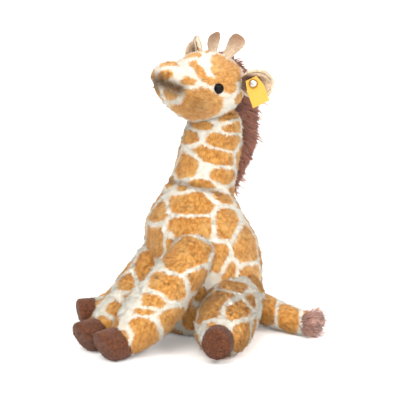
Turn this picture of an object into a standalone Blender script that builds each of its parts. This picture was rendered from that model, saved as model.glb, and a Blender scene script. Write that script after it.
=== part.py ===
"""Seated plush giraffe, as it comes apart on a sewing bench.

Each stuffed form is a plush cover, open where it is sewn on, over a body of fibre filling. The neck, head,
legs and tail have domed roots that turn in round seats of the piece that carries them, so each one can bend
at its seam. Metres, +Z up, the giraffe faces -Y, its left side is +X, the floor is at Z = 0.
"""

import math

import bmesh
import bpy
from mathutils import Matrix, Vector

# Sewing
FABRIC = 0.0012
SEAM_GAP = 0.0003
FILLING_GAP = 0.0005
SEAT_GAP = 0.0004
OVERRUN = 0.003

# Torso
TORSO_HEIGHT = 0.121
TORSO_WIDTH = 0.106
TORSO_DEPTH = 0.106

# Neck, from its root in the torso to its pivot under the head
NECK_LENGTH = 0.0648
NECK_LEAN = math.radians(19.8)
NECK_BOW = 0.004
NECK_ROOT_RADIUS = 0.0345
NECK_TOP_RADIUS = 0.0262
NECK_SEAT_DEPTH = 0.002

# Head
HEAD_LENGTH = 0.095
HEAD_WIDTH = 0.056
HEAD_HEIGHT = 0.063
HEAD_RISE = 0.010
HEAD_REAR = 0.0275

# Forelegs
FORELEG_REACH_LEFT = 0.077
FORELEG_REACH_RIGHT = 0.0748
FORELEG_OUT = 0.007
FORELEG_SAG = 0.003
FORELEG_BEND_SHARE = 0.45
FORELEG_ROOT_RADIUS = 0.020
FORELEG_END_LEFT = 0.0205
FORELEG_END_RIGHT = 0.0142
FORELEG_ANKLE = math.radians(24)
FORELEG_RAISED = math.radians(30.6)

# Hind legs
HINDLEG_REACH_LEFT = 0.0695
HINDLEG_REACH_RIGHT = 0.0625
HINDLEG_SPREAD_LEFT = 0.048
HINDLEG_SPREAD_RIGHT = 0.041
HINDLEG_BOW = 0.001
HINDLEG_SAG = 0.003
HINDLEG_ROOT_RADIUS = 0.0265
HINDLEG_HOOF_RISE = 0.0045

# Hooves, and how deep the stuffed forms are pressed flat on the floor
HOOF_WIDTH = 0.0272
HOOF_HEIGHT = 0.029
HIND_HOOF_WIDTH = 0.0260
FLAT_HOOF_HEIGHT = 0.0235
FORE_HOOF_TOP = 0.029
FORE_HOOF_HEEL = 0.013
HIND_HOOF_TOP = 0.018
HIND_HOOF_HEEL = 0.014
HOOF_BULGE = 0.0024
FLOOR_PRESS = 0.0005
FLOOR_SPAN = 0.40

# Tail and its tuft
TAIL_ROOT_RADIUS = 0.0155
TAIL_END_RADIUS = 0.0112
TAIL_LENGTH = 0.0750
TUFT_RISE = 0.0055
TAIL_DRIFT = 0.002
TAIL_BOW = 0.006
TAIL_DROP = 0.0012
TUFT_LENGTH = 0.019

# Mane
MANE_THICKNESS = 0.013
MANE_DEPTH = 0.034
MANE_ROOT = 0.003

# Horns, the pair of suede paddles on the crown
HORN_LENGTH = 0.0225
HORN_STEM_WIDTH = 0.0112
HORN_TIP_WIDTH = 0.0190
HORN_THICKNESS = 0.0042
HORN_ROOT_DEPTH = 0.002
HORN_ASIDE = 0.0085
HORN_SPLAY = math.radians(25)
HORN_TILT = math.radians(29)

# Ears
EAR_LENGTH_LEFT = 0.030
EAR_LENGTH_RIGHT = 0.024
EAR_WIDTH = 0.027
EAR_BACK = 0.0016
EAR_LINING = 0.0010
EAR_HEM = 0.0011
EAR_ROOT_GAP = 0.0012
EAR_BEAD_RADIUS = 0.0021
EAR_BEAD_LENGTH = 0.010

# Eyes
EYE_RADIUS = 0.0046
EYE_DOME = 0.0036
EYE_SHANK_RADIUS = 0.0014
EYE_SHANK_LENGTH = 0.0066
EYE_WASHER_RADIUS = 0.0055
EYE_WASHER = 0.0010
EYE_WASHER_DEPTH = 0.0014

# Ear tag and its rivet
TAG_TOP_WIDTH = 0.0104
TAG_WIDTH = 0.0160
TAG_LENGTH = 0.0260
TAG_HEAD = 0.0050
TAG_THICKNESS = 0.0010
TAG_STANDOFF = 0.0037
TAG_BEND_RUN = 0.0044
TAG_BEND = math.radians(34)
TAG_HANG = math.radians(27)
RIVET_RADIUS = 0.0043
RIVET_RIM = 0.0009
RIVET_DOME = 0.0011
RIVET_SHANK_RADIUS = 0.0012
RIVET_BACK_RADIUS = 0.0034
RIVET_BACK = 0.0006

# Height, breadth and forward shift along the torso, as shares of its height, half sizes and half depth
TORSO_SHARES = (
    (0.0, 0.64, 0.0), (0.015, 0.745, 0.0), (0.065, 0.85, 0.0), (0.165, 0.93, 0.0), (0.34, 0.99, 0.01),
    (0.53, 0.998, 0.03), (0.69, 0.955, 0.09), (0.82, 0.87, 0.19), (0.92, 0.755, 0.24), (1.0, 0.58, 0.22),
)
# Place along the neck's axis, and swell over its top radius as a share of what the root has over the top
NECK_SHARES = ((0.42, 0.33), (0.57, 0.20), (0.73, 0.12), (0.88, 0.05))
# Place from the muzzle to the nape, top, underside and breadth, as shares of the head's sizes
HEAD_SHARES = (
    (0.012, 0.78, 0.60, 0.22), (0.037, 0.84, 0.51, 0.45), (0.084, 0.89, 0.43, 0.62),
    (0.158, 0.905, 0.298, 0.73), (0.253, 0.873, 0.176, 0.80), (0.337, 0.885, 0.094, 0.86),
    (0.442, 0.97, 0.036, 0.93), (0.568, 1.0, 0.006, 0.98), (0.695, 0.985, 0.0, 1.0),
    (0.81, 0.93, 0.063, 0.95), (0.905, 0.835, 0.175, 0.80), (0.968, 0.71, 0.30, 0.50),
)
# Place along a leg's axis and its radius as a share of the root's
FORELEG_LEFT_SHARES = ((0.25, 1.02), (0.48, 1.14), (0.68, 1.15), (0.84, 1.0), (0.94, 0.84))
FORELEG_RIGHT_SHARES = ((0.25, 1.0), (0.48, 1.0), (0.68, 0.97), (0.84, 0.87), (0.94, 0.77))
# The hind legs have two: half width and half height. The right one lies flatter
HINDLEG_SHARES = ((0.30, 1.0), (0.52, 0.98), (0.70, 0.96), (0.84, 0.89, 0.84), (0.94, 0.77, 0.72))
FLAT_HINDLEG_SHARES = (
    (0.30, 0.92, 0.84), (0.52, 0.84, 0.68), (0.70, 0.80, 0.54), (0.84, 0.73, 0.47), (0.94, 0.62, 0.455),
)
TAIL_SHARES = ((0.25, 0.92), (0.50, 0.86), (0.75, 0.79))
TUFT_SHARES = ((0.0, 0.80), (0.25, 1.05), (0.65, 1.02), (0.92, 0.62))
# Where along a limb its sections start to turn towards the seam at its end
TURN_SHARE = 0.60
# Where limbs are rooted in the torso: shares of its half width, of its half depth forward, and of its height
FORELEG_LEFT_ROOT_SHARES = (0.53, 0.80, 0.655)
FORELEG_RIGHT_ROOT_SHARES = (0.45, 0.715, 0.512)
HINDLEG_ROOT_SHARES = (0.71, -0.03, 0.285)
TAIL_ROOT_SHARES = (0.19, -0.775, 0.16)
NECK_ROOT_SHARE = 0.217
# Distance out over a hoof's sole, and the sole's width and height there, as shares of the full sizes
HOOF_SOLE_SHARES = ((0.0, 1.0, 1.0), (0.6, 0.84, 0.86), (1.0, 0.48, 0.5))
HOOF_PEAK_SHARE = 0.26
# Where an eye sits: back from the muzzle and up, as shares of the head's length and height
EYE_SHARES = (0.50, 0.52)
# Height and radius over the eye's dome, as shares of its height and radius
EYE_DOME_SHARES = ((0.0, 1.0), (0.32, 0.96), (0.64, 0.78), (0.88, 0.48), (1.0, 0.16))
HORN_ROOT_SHARE = 0.80
# Place along a horn, how far it swells to the tip's width, and its thickness as a share of the middle's
HORN_SHARES = (
    (0.0, 0.0, 1.0), (0.14, 0.0, 1.0), (0.38, 0.5, 1.0), (0.62, 1.0, 1.0), (0.82, 0.9, 0.95),
    (0.95, 0.45, 0.8), (1.0, -0.3, 0.5),
)
# Each ear's root: back from the muzzle and up, as shares of the head's length and height
LEFT_EAR_SHARES = (0.775, 0.56)
RIGHT_EAR_SHARES = (0.742, 0.80)
# Directions of the ears: along the leaf, and out of its hollow side
LEFT_EAR_AXIS = Vector((0.83, 0.55, -0.05))
LEFT_EAR_FACE = Vector((0.50, -0.80, 0.20))
RIGHT_EAR_AXIS = Vector((-0.55, 0.32, 0.77))
RIGHT_EAR_FACE = Vector((-0.25, -0.95, 0.10))
LEFT_EAR_CURL = math.radians(52)
RIGHT_EAR_CURL = math.radians(50)
# Place along an ear and its breadth there, and how soon its hollow reaches the full curl
EAR_SHARES = ((0.0, 0.46), (0.15, 0.78), (0.35, 0.97), (0.55, 1.0), (0.75, 0.91), (0.90, 0.70), (1.0, 0.38))
EAR_ROOT_CURL_SHARE = 0.45
EAR_CURL_SHARE = 0.60
RIVET_SHARE = 0.45
RIVET_CUP_SHARE = 0.77
# Along the neck: place, reach of the neck's back as a share of its root radius, and share of the mane's depth
MANE_NECK_SHARES = (
    (0.27, 0.90, 0.52), (0.34, 0.87, 0.59), (0.42, 0.845, 0.65), (0.57, 0.81, 0.78), (0.73, 0.79, 0.96),
    (0.88, 0.77, 1.12),
)
# Along the head: place from the muzzle, height over its middle, and depth of the mane
MANE_HEAD_SHARES = ((0.968, -1.0, 1.12), (1.0, 0.0, 0.86), (0.968, 1.0, 0.46), (0.905, 1.0, 0.24))

# Angles of a domed root's sections from the pole behind it
ROOT_ANGLES = [math.radians(angle) for angle in (20, 43, 66, 90)]
NECK_ROOT_ANGLES = [math.radians(angle) for angle in (18, 40, 62, 84, 103, 118)]
NECK_TOP_ANGLES = [math.radians(angle) for angle in (112, 134, 156)]

TORSO_SIDES = 20
HEAD_SIDES = 16
NECK_SIDES = 16
LEG_SIDES = 12
TAIL_SIDES = 10
MANE_SIDES = 10
HORN_SIDES = 10
EYE_SIDES = 12
EAR_STEPS = 6
EAR_BEAD_SIDES = 8
RIVET_SIDES = 12
SEAT_SIDES = 16
ROOT_SIDES = 32

PLUSH = (0.80, 0.52, 0.24)
HOOF_BROWN = (0.11, 0.05, 0.03)
MANE_BROWN = (0.13, 0.05, 0.04)
SUEDE = (0.52, 0.37, 0.25)
LINING = (0.60, 0.47, 0.34)
FIBRE = (0.88, 0.88, 0.86)
EYE_BLACK = (0.01, 0.01, 0.01)
RIBBON_YELLOW = (0.90, 0.62, 0.13)
BRASS = (0.70, 0.48, 0.18)
NICKEL = (0.75, 0.74, 0.70)

UP = Vector((0, 0, 1))
AHEAD = Vector((0, -1, 0))
LEFT = Vector((1, 0, 0))
ROOT_SKIN = SEAT_GAP - SEAM_GAP


def finish(name, colour, roughness, metallic=0.0):
    """A plain material of one colour."""
    material = bpy.data.materials.new(name)
    material.use_nodes = True
    shader = material.node_tree.nodes["Principled BSDF"]
    shader.inputs["Base Color"].default_value = (*colour, 1.0)
    shader.inputs["Roughness"].default_value = roughness
    shader.inputs["Metallic"].default_value = metallic
    return material


def add_object(name, body, material=None):
    """The bmesh as a smooth object in the scene; without a material it is a helper that isn't rendered."""
    bmesh.ops.recalc_face_normals(body, faces=body.faces)
    mesh = bpy.data.meshes.new(name)
    body.to_mesh(mesh)
    body.free()
    mesh.shade_smooth()
    mesh.set_sharp_from_angle(angle=math.radians(40))
    piece = bpy.data.objects.new(name, mesh)
    bpy.context.scene.collection.objects.link(piece)
    if material:
        mesh.materials.append(material)
    else:
        piece.hide_render = True
        piece.display_type = "WIRE"
    return piece


def loft(rings, fans=True):
    """A closed skin through rings of equal count. Each end is a flat face, or a fan to its middle."""
    body = bmesh.new()
    loops = [[body.verts.new(point) for point in ring] for ring in rings]
    count = len(loops[0])
    for near, far in zip(loops, loops[1:]):
        for step in range(count):
            turn = (step + 1) % count
            body.faces.new((near[step], near[turn], far[turn], far[step]))
    ends = [body.faces.new(loops[0]), body.faces.new(loops[-1])]
    if fans:
        bmesh.ops.poke(body, faces=ends)
    return body


def offset_profile(points, grow):
    """How each corner of a profile of radius and height moves when all its sides shift out evenly."""
    normals = [Vector((0, -1))]
    for (radius, height), (next_radius, next_height) in zip(points, points[1:]):
        normals.append(Vector((next_height - height, radius - next_radius)).normalized())
    normals.append(normals[-1])
    moves = [(a + b) / (1 + a.dot(b)) for a, b in zip(normals, normals[1:])]
    return [move * grow for move in moves]


def oval(centre, side, up, half_width, half_height, count, peak=0.0):
    """A ring about centre; peak narrows its upper half towards a rounded point."""
    points = []
    for step in range(count):
        angle = math.tau * step / count
        narrow = 1 - peak * max(0.0, math.sin(angle)) ** 2
        across = side * (half_width * narrow * math.cos(angle))
        points.append(centre + across + up * (half_height * math.sin(angle)))
    return points


def cut(piece, cutter, operation="DIFFERENCE"):
    """Cuts the cutter out of the piece, or joins it on with UNION."""
    modifier = piece.modifiers.new(cutter.name, "BOOLEAN")
    modifier.operation = operation
    modifier.object = cutter
    modifier.solver = "EXACT"


def ball(name, centre, radius, sides=SEAT_SIDES):
    """A round cutter whose facets stay outside the radius."""
    body = bmesh.new()
    outside = radius / math.cos(math.pi / sides) ** 2
    bmesh.ops.create_uvsphere(body, u_segments=sides, v_segments=sides // 2, radius=outside)
    bmesh.ops.translate(body, verts=body.verts, vec=centre)
    return add_object(name, body)


class Limb:
    """A stuffed tube on a bent axis: a domed root that turns in a seat, and an end ring where it is sewn."""

    def __init__(self, root, bend, end, root_radius, end_size, shares, end_along=None):
        self.root = root
        self.bend = bend
        self.end = end
        self.root_radius = root_radius
        self.end_size = end_size
        self.shares = shares
        self.end_along = end_along or (end - bend).normalized()

    def along(self, place):
        return ((self.bend - self.root) * (1 - place) + (self.end - self.bend) * place).normalized()

    def at(self, place):
        return self.root.lerp(self.bend, place).lerp(self.bend.lerp(self.end, place), place)

    def frame(self, place):
        turn = max(0, place - TURN_SHARE) / (1 - TURN_SHARE)
        along = self.along(place).lerp(self.end_along, turn).normalized()
        side = along.cross(UP).normalized()
        return side, side.cross(along)

    def dome(self, place, radius, angles, sides):
        """Rings of a ball about the axis at this place, at these angles from its pole behind the root."""
        rings = []
        for angle in angles:
            centre = self.at(place) - self.along(place) * (radius * math.cos(angle))
            reach = radius * math.sin(angle)
            rings.append(oval(centre, *self.frame(place), reach, reach, sides))
        return rings

    def rings(self, grow, sides, dome_angles=ROOT_ANGLES):
        rings = self.dome(0, self.root_radius + grow, dome_angles, sides)
        for place, *shares in self.shares:
            wide = self.root_radius * shares[0] + grow
            high = self.root_radius * shares[-1] + grow
            rings.append(oval(self.at(place), *self.frame(place), wide, high, sides))
        width, height = self.end_size
        rings.append(oval(self.end, *self.frame(1), width / 2 + grow, height / 2 + grow, sides))
        return rings


def sock(name, outer, inner, material):
    """A cover closed at the first ring and open at the last."""
    return add_object(name, loft(outer + inner[::-1]), material)


def seat_in(pieces, name, centre, radius):
    """A round seat for a domed root, cut out of a cover and its filling."""
    cutter = ball(name, centre, radius + SEAT_GAP)
    for piece in pieces:
        cut(piece, cutter)


def bar(centre, axis, radius, low, high, segments):
    """A round bar about an axis, from low to high along it."""
    return turned(centre, axis, [(low, radius), (high, radius)], segments)


def turned(centre, axis, profile, segments):
    """A solid of revolution about an axis; the profile lists a height along it and a radius."""
    axis = axis.normalized()
    side = axis.orthogonal().normalized()
    up = axis.cross(side)
    rings = [oval(centre + axis * height, side, up, radius, radius, segments) for height, radius in profile]
    return loft(rings)


def torso_rings(grow, sides):
    half = (TORSO_WIDTH + TORSO_DEPTH) / 4
    profile = [(half * breadth, TORSO_HEIGHT * height) for height, breadth, _ in TORSO_SHARES]
    moves = offset_profile(profile, grow)
    rings = []
    for (height, breadth, forward), move in zip(TORSO_SHARES, moves):
        centre = UP * (TORSO_HEIGHT * height + move.y) + AHEAD * (TORSO_DEPTH / 2 * forward)
        half_width = TORSO_WIDTH / 2 * breadth + move.x
        half_depth = TORSO_DEPTH / 2 * breadth + move.x
        rings.append(oval(centre, LEFT, AHEAD, half_width, half_depth, sides))
    return rings


def torso_place(shares, hand=1):
    aside, forward, height = shares
    across = LEFT * (hand * TORSO_WIDTH / 2 * aside)
    return across + AHEAD * (TORSO_DEPTH / 2 * forward) + UP * (TORSO_HEIGHT * height)


def make_torso(plush, fibre):
    cover = sock("torso_cover", torso_rings(0, TORSO_SIDES), torso_rings(-FABRIC, TORSO_SIDES), plush)
    filling = add_object("torso_filling", loft(torso_rings(-FABRIC - FILLING_GAP, TORSO_SIDES // 2)), fibre)
    return cover, filling


def neck_limb():
    """The neck's axis, from its root at the torso's top to the pivot under the head."""
    root = AHEAD * (TORSO_DEPTH / 2 * NECK_ROOT_SHARE) + UP * (TORSO_HEIGHT - NECK_SEAT_DEPTH)
    lean = UP * math.cos(NECK_LEAN) - AHEAD * math.sin(NECK_LEAN)
    back = -AHEAD * math.cos(NECK_LEAN) - UP * math.sin(NECK_LEAN)
    top = root + lean * NECK_LENGTH
    taper = NECK_TOP_RADIUS / NECK_ROOT_RADIUS
    shares = [(place, taper + swell * (1 - taper)) for place, swell in NECK_SHARES]
    bend = root.lerp(top, 1 / 2) + back * NECK_BOW
    return Limb(root, bend, top, NECK_ROOT_RADIUS, (2 * NECK_TOP_RADIUS, 2 * NECK_TOP_RADIUS), shares)


def neck_rings(limb, grow, sides):
    rings = limb.rings(grow, sides, NECK_ROOT_ANGLES)
    rings += limb.dome(1, NECK_TOP_RADIUS + grow, NECK_TOP_ANGLES, sides)
    return rings


def make_neck(limb, plush, fibre):
    cover = sock("neck_cover", neck_rings(limb, 0, NECK_SIDES), neck_rings(limb, -FABRIC, NECK_SIDES), plush)
    rings = neck_rings(limb, -FABRIC - FILLING_GAP, NECK_SIDES // 2)
    return cover, add_object("neck_filling", loft(rings), fibre)


class Head:
    """The head's form about the neck's top pivot, in upright sections from the muzzle to the nape."""

    def __init__(self, pivot):
        self.muzzle = pivot - AHEAD * (HEAD_REAR - HEAD_LENGTH) + UP * HEAD_RISE

    def section(self, back):
        """Middle, half width and half height of the section at this share from the muzzle."""
        shares = HEAD_SHARES
        place = min(max(back, shares[0][0]), shares[-1][0])
        for near, far in zip(shares, shares[1:]):
            if place <= far[0]:
                part = (place - near[0]) / (far[0] - near[0])
                top, low, breadth = (a + (b - a) * part for a, b in zip(near[1:], far[1:]))
                break
        middle = self.muzzle - AHEAD * (HEAD_LENGTH * back) + UP * (HEAD_HEIGHT * (top + low) / 2)
        return middle, HEAD_WIDTH / 2 * breadth, HEAD_HEIGHT * (top - low) / 2

    def rings(self, grow, sides):
        profile = []
        for back, *_ in HEAD_SHARES:
            middle, half_width, half_height = self.section(back)
            profile.append(((half_width + half_height) / 2, HEAD_LENGTH * back))
        rings = []
        for (back, *_), move in zip(HEAD_SHARES, offset_profile(profile, grow)):
            middle, half_width, half_height = self.section(back)
            last = back == HEAD_SHARES[-1][0]
            centre = middle - AHEAD * (grow if last else move.y)
            rings.append(oval(centre, LEFT, UP, half_width + move.x, half_height + move.x, sides))
        return rings

    def side_point(self, back, up, hand):
        """The point of a flank at these shares of the length and height, and the way out of it there."""
        def point(back, up):
            middle, half_width, half_height = self.section(back)
            level = self.muzzle.z + HEAD_HEIGHT * up
            reach = math.sqrt(max(0, 1 - ((level - middle.z) / half_height) ** 2))
            return Vector((hand * half_width * reach, middle.y, level))

        step = HEAD_SHARES[0][0]
        along = point(back + step, up) - point(back - step, up)
        rise = point(back, up + step) - point(back, up - step)
        return point(back, up), along.cross(rise).normalized() * hand

    def crown_point(self, back, aside):
        middle, half_width, half_height = self.section(back)
        return middle + LEFT * aside + UP * (half_height * math.sqrt(1 - (aside / half_width) ** 2))


def make_head(head, plush, fibre):
    cover = add_object("head_cover", loft(head.rings(0, HEAD_SIDES)), plush)
    cut(cover, add_object("head_hollow", loft(head.rings(-FABRIC, HEAD_SIDES))))
    filling = add_object("head_filling", loft(head.rings(-FABRIC - FILLING_GAP, HEAD_SIDES // 2)), fibre)
    return cover, filling


def foreleg_limb(hand, root_shares, reach, out, sag, end_aside, shares):
    root = torso_place(root_shares, hand)
    level = UP * (HOOF_HEIGHT / 2 - FLOOR_PRESS)
    end = LEFT * (hand * end_aside) + AHEAD * (AHEAD.dot(root) + reach) + level
    rise = LEFT.cross(root - end).normalized()
    bend = root.lerp(end, FORELEG_BEND_SHARE) + LEFT * (hand * out) - rise * sag
    ankle = AHEAD * math.cos(FORELEG_ANKLE) - UP * math.sin(FORELEG_ANKLE)
    return Limb(root, bend, end, FORELEG_ROOT_RADIUS, (HOOF_WIDTH, HOOF_HEIGHT), shares, ankle)


def hindleg_limb(hand, spread, reach, bow, rise, height, shares):
    root = torso_place(HINDLEG_ROOT_SHARES, hand)
    ankle = LEFT * (hand * spread) + AHEAD * reach
    end = root - UP * UP.dot(root) + ankle + UP * (height / 2 + rise)
    bend = root.lerp(end, 1 / 2) + UP * bow
    size = (HIND_HOOF_WIDTH, height)
    return Limb(root, bend, end, HINDLEG_ROOT_RADIUS, size, shares, ankle.normalized())


def tail_limb():
    root = torso_place(TAIL_ROOT_SHARES)
    end = root + LEFT * TAIL_LENGTH - AHEAD * TAIL_DRIFT + UP * (TAIL_END_RADIUS - FLOOR_PRESS - root.z)
    bend = root.lerp(end, 1 / 2) + AHEAD * TAIL_BOW - UP * TAIL_DROP
    size = (2 * TAIL_END_RADIUS, 2 * TAIL_END_RADIUS)
    return Limb(root, bend, end, TAIL_ROOT_RADIUS, size, TAIL_SHARES)


def make_limb(name, limb, sides, plush, fibre, floor, in_hoof=(), raised=0):
    """A limb's cover and filling, trimmed beside the domed root so that both clear the torso when raised."""
    cover = sock(f"{name}_cover", limb.rings(0, sides), limb.rings(-FABRIC, sides), plush)
    inside = -FABRIC - FILLING_GAP
    filling = add_object(f"{name}_filling", loft([*limb.rings(inside, sides), *in_hoof]), fibre)
    beside = add_object(f"{name}_beside_torso", loft(torso_rings(SEAM_GAP, TORSO_SIDES)))
    if raised:
        torso = loft(torso_rings(SEAM_GAP, TORSO_SIDES))
        around = Matrix.Translation(limb.root)
        turn = around @ Matrix.Rotation(raised, 4, LEFT) @ around.inverted()
        bmesh.ops.transform(torso, matrix=turn, verts=torso.verts)
        cut(beside, add_object(f"{name}_torso_when_raised", torso), "UNION")
    cut(beside, ball(f"{name}_root_ball", limb.root, limb.root_radius + ROOT_SKIN, ROOT_SIDES))
    for piece in (cover, filling):
        cut(piece, beside)
    cut(cover, floor)
    return cover, filling


def hoof_rings(limb, lengths, grow, sides, clear=0.0):
    """A hoof's rings from the seam to the sole, which slants: its top runs further out than its heel."""
    top, heel = lengths
    out = limb.end_along
    ahead = (out - UP * out.z).normalized()
    side = ahead.cross(UP)
    width, height = limb.end_size
    half_width = width / 2 + grow
    half_height = height / 2 + grow
    sole = UP * height + ahead * (top - heel)
    slant = sole.normalized()
    normal = slant.cross(side)
    toe = limb.end + ahead * ((top + heel) / 2)
    rings = [oval(limb.end + out * clear, *limb.frame(1), half_width, half_height, sides)]
    waist = limb.end + ahead * (heel / 2)
    rings.append(oval(waist, side, UP, half_width, half_height, sides, HOOF_PEAK_SHARE / 2))
    for bulge, breadth, reach in HOOF_SOLE_SHARES:
        centre = toe + normal * (HOOF_BULGE * bulge + grow)
        half_sole = (sole.length / 2 + grow) * reach
        rings.append(oval(centre, side, slant, half_width * breadth, half_sole, sides, HOOF_PEAK_SHARE))
    return rings


def make_hoof(name, limb, lengths, material, floor):
    outer = hoof_rings(limb, lengths, 0, LEG_SIDES, SEAM_GAP)[::-1]
    inner = hoof_rings(limb, lengths, -FABRIC, LEG_SIDES, SEAM_GAP)[::-1]
    hoof = sock(name, outer, inner, material)
    cut(hoof, floor)
    return hoof


def make_tuft(limb, material, floor):
    rings = []
    for place, share in TUFT_SHARES:
        centre = limb.end + limb.along(1) * (SEAM_GAP + TUFT_LENGTH * place) + UP * (TUFT_RISE * place)
        radius = TAIL_END_RADIUS * share
        rings.append(oval(centre, *limb.frame(1), radius, radius, TAIL_SIDES))
    tuft = add_object("tail_tuft", loft(rings), material)
    cut(tuft, floor)
    return tuft


def make_mane(neck, head, material):
    """A crest of fur on the back of the neck and head, as deep as its tips reach, cut to lie on both."""
    route = []
    for place, reach, depth in MANE_NECK_SHARES:
        side, up = neck.frame(place)
        route.append((neck.at(place) - up * (neck.root_radius * reach), depth))
    for back, height, depth in MANE_HEAD_SHARES:
        middle, _, half_height = head.section(back)
        route.append((middle + UP * (half_height * height), depth))
    rings = []
    for index, (point, share) in enumerate(route):
        before = route[max(index - 1, 0)][0]
        after = route[min(index + 1, len(route) - 1)][0]
        out = (after - before).cross(LEFT).normalized()
        depth = MANE_DEPTH * share
        half = MANE_THICKNESS / 2 * math.sqrt(share)
        centre = point + out * (depth / 2 - MANE_ROOT)
        rings.append(oval(centre, LEFT, out, half, depth / 2 + MANE_ROOT, MANE_SIDES))
    mane = add_object("mane", loft(rings), material)
    cut(mane, add_object("neck_under_mane", loft(neck_rings(neck, SEAM_GAP, NECK_SIDES))))
    cut(mane, add_object("head_under_mane", loft(head.rings(SEAM_GAP, HEAD_SIDES))))
    return mane


def make_horn(name, head, hand, covers, material):
    foot = head.crown_point(HORN_ROOT_SHARE, hand * HORN_ASIDE)
    axis = Vector((hand * math.tan(HORN_SPLAY), math.tan(HORN_TILT), 1)).normalized()
    side = axis.cross(AHEAD).normalized()
    face = side.cross(axis)
    rings = []
    for place, swell, thickness in HORN_SHARES:
        height = HORN_LENGTH * place if place else -HORN_ROOT_DEPTH
        half_width = (HORN_STEM_WIDTH + (HORN_TIP_WIDTH - HORN_STEM_WIDTH) * swell) / 2
        half_depth = HORN_THICKNESS / 2 * thickness
        rings.append(oval(foot + axis * height, side, face, half_width, half_depth, HORN_SIDES))
    horn = add_object(name, loft(rings), material)
    wide = HORN_STEM_WIDTH / 2 + SEAM_GAP
    deep = HORN_THICKNESS / 2 + SEAM_GAP
    ends = (-HORN_ROOT_DEPTH - SEAM_GAP, OVERRUN)
    slot = [oval(foot + axis * height, side, face, wide, deep, HORN_SIDES) for height in ends]
    cutter = add_object(f"{name}_slot", loft(slot))
    for cover in covers:
        cut(cover, cutter)
    return horn


def make_eye(name, head, hand, covers, black, clear):
    """A domed eye on a shank that runs through the cover to a washer inside it."""
    point, out = head.side_point(*EYE_SHARES, hand)
    seat = point + out * SEAM_GAP
    profile = [(-EYE_SHANK_LENGTH, EYE_SHANK_RADIUS), (0, EYE_SHANK_RADIUS)]
    profile += [(EYE_DOME * height, EYE_RADIUS * radius) for height, radius in EYE_DOME_SHARES]
    eye = add_object(name, turned(seat, out, profile, EYE_SIDES), black)
    depth = FABRIC + EYE_WASHER_DEPTH
    plate = bar(seat, out, EYE_WASHER_RADIUS, -depth - EYE_WASHER, -depth, EYE_SIDES)
    washer = add_object(f"{name}_washer", plate, clear)
    hole = EYE_SHANK_RADIUS + SEAM_GAP
    bottom = -EYE_SHANK_LENGTH - SEAM_GAP
    bore = add_object(f"{name}_bore", bar(seat, out, hole, bottom, OVERRUN, EYE_SIDES))
    wide = EYE_WASHER_RADIUS + SEAM_GAP
    low = -depth - EYE_WASHER - SEAM_GAP
    steps = [(bottom, hole), (low, hole), (low, wide), (OVERRUN, wide)]
    pocket = add_object(f"{name}_pocket", turned(seat, out, steps, EYE_SIDES))
    cover, filling = covers
    cut(washer, bore)
    cut(cover, bore)
    cut(filling, pocket)
    return eye, washer


class Ear:
    """A cupped leaf: an axis along it, a face out of its hollow, and a root bead across it on the head."""

    def __init__(self, head, hand, shares, axis, face, curl, length):
        self.root, self.out = head.side_point(*shares, hand)
        self.length = length
        self.axis = axis.normalized()
        self.face = (face - self.axis * face.dot(self.axis)).normalized()
        self.across = self.axis.cross(self.face)
        self.hinge = (self.across - self.out * self.across.dot(self.out)).normalized()
        self.curl = curl

    def ring(self, place, breadth, outer, inner, trim):
        """One section of a layer of the leaf: its outer side there and its inner side back."""
        half = EAR_WIDTH / 2 * breadth - trim
        curl = self.curl * min(1, EAR_ROOT_CURL_SHARE + place / EAR_CURL_SHARE)
        radius = half / curl
        foot = self.root + self.axis * (EAR_ROOT_GAP + (self.length - EAR_ROOT_GAP - trim) * place)
        points = []
        for offset, direction in ((outer, 1), (inner, -1)):
            for step in range(EAR_STEPS + 1):
                angle = curl * direction * (2 * step / EAR_STEPS - 1)
                reach = radius - offset
                rise = radius - reach * math.cos(angle)
                points.append(foot + self.across * (reach * math.sin(angle)) + self.face * rise)
        return points

    def layer(self, outer, inner, trim):
        return loft([self.ring(*shares, outer, inner, trim) for shares in EAR_SHARES], fans=False)


def make_ear(name, ear, covers, plush, lining):
    back = add_object(f"{name}_back", ear.layer(-EAR_BACK, 0, 0), plush)
    half = EAR_BEAD_LENGTH / 2
    bead = bar(ear.root, ear.hinge, EAR_BEAD_RADIUS, -half, half, EAR_BEAD_SIDES)
    cut(back, add_object(f"{name}_bead", bead), "UNION")
    near = SEAM_GAP
    front = add_object(f"{name}_lining", ear.layer(near, near + EAR_LINING, EAR_HEM), lining)
    radius = (EAR_BEAD_RADIUS + SEAT_GAP) / math.cos(math.pi / EAR_BEAD_SIDES)
    groove = add_object(
        f"{name}_groove", bar(ear.root, ear.hinge, radius, -half - SEAT_GAP, half + SEAT_GAP, EAR_BEAD_SIDES)
    )
    for cover in covers:
        cut(cover, groove)
    wide = EAR_BEAD_RADIUS + SEAM_GAP
    room = bar(ear.root, ear.hinge, wide, -half - OVERRUN, half + OVERRUN, EAR_BEAD_SIDES)
    cut(front, add_object(f"{name}_lining_foot", room))
    return back, front


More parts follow.
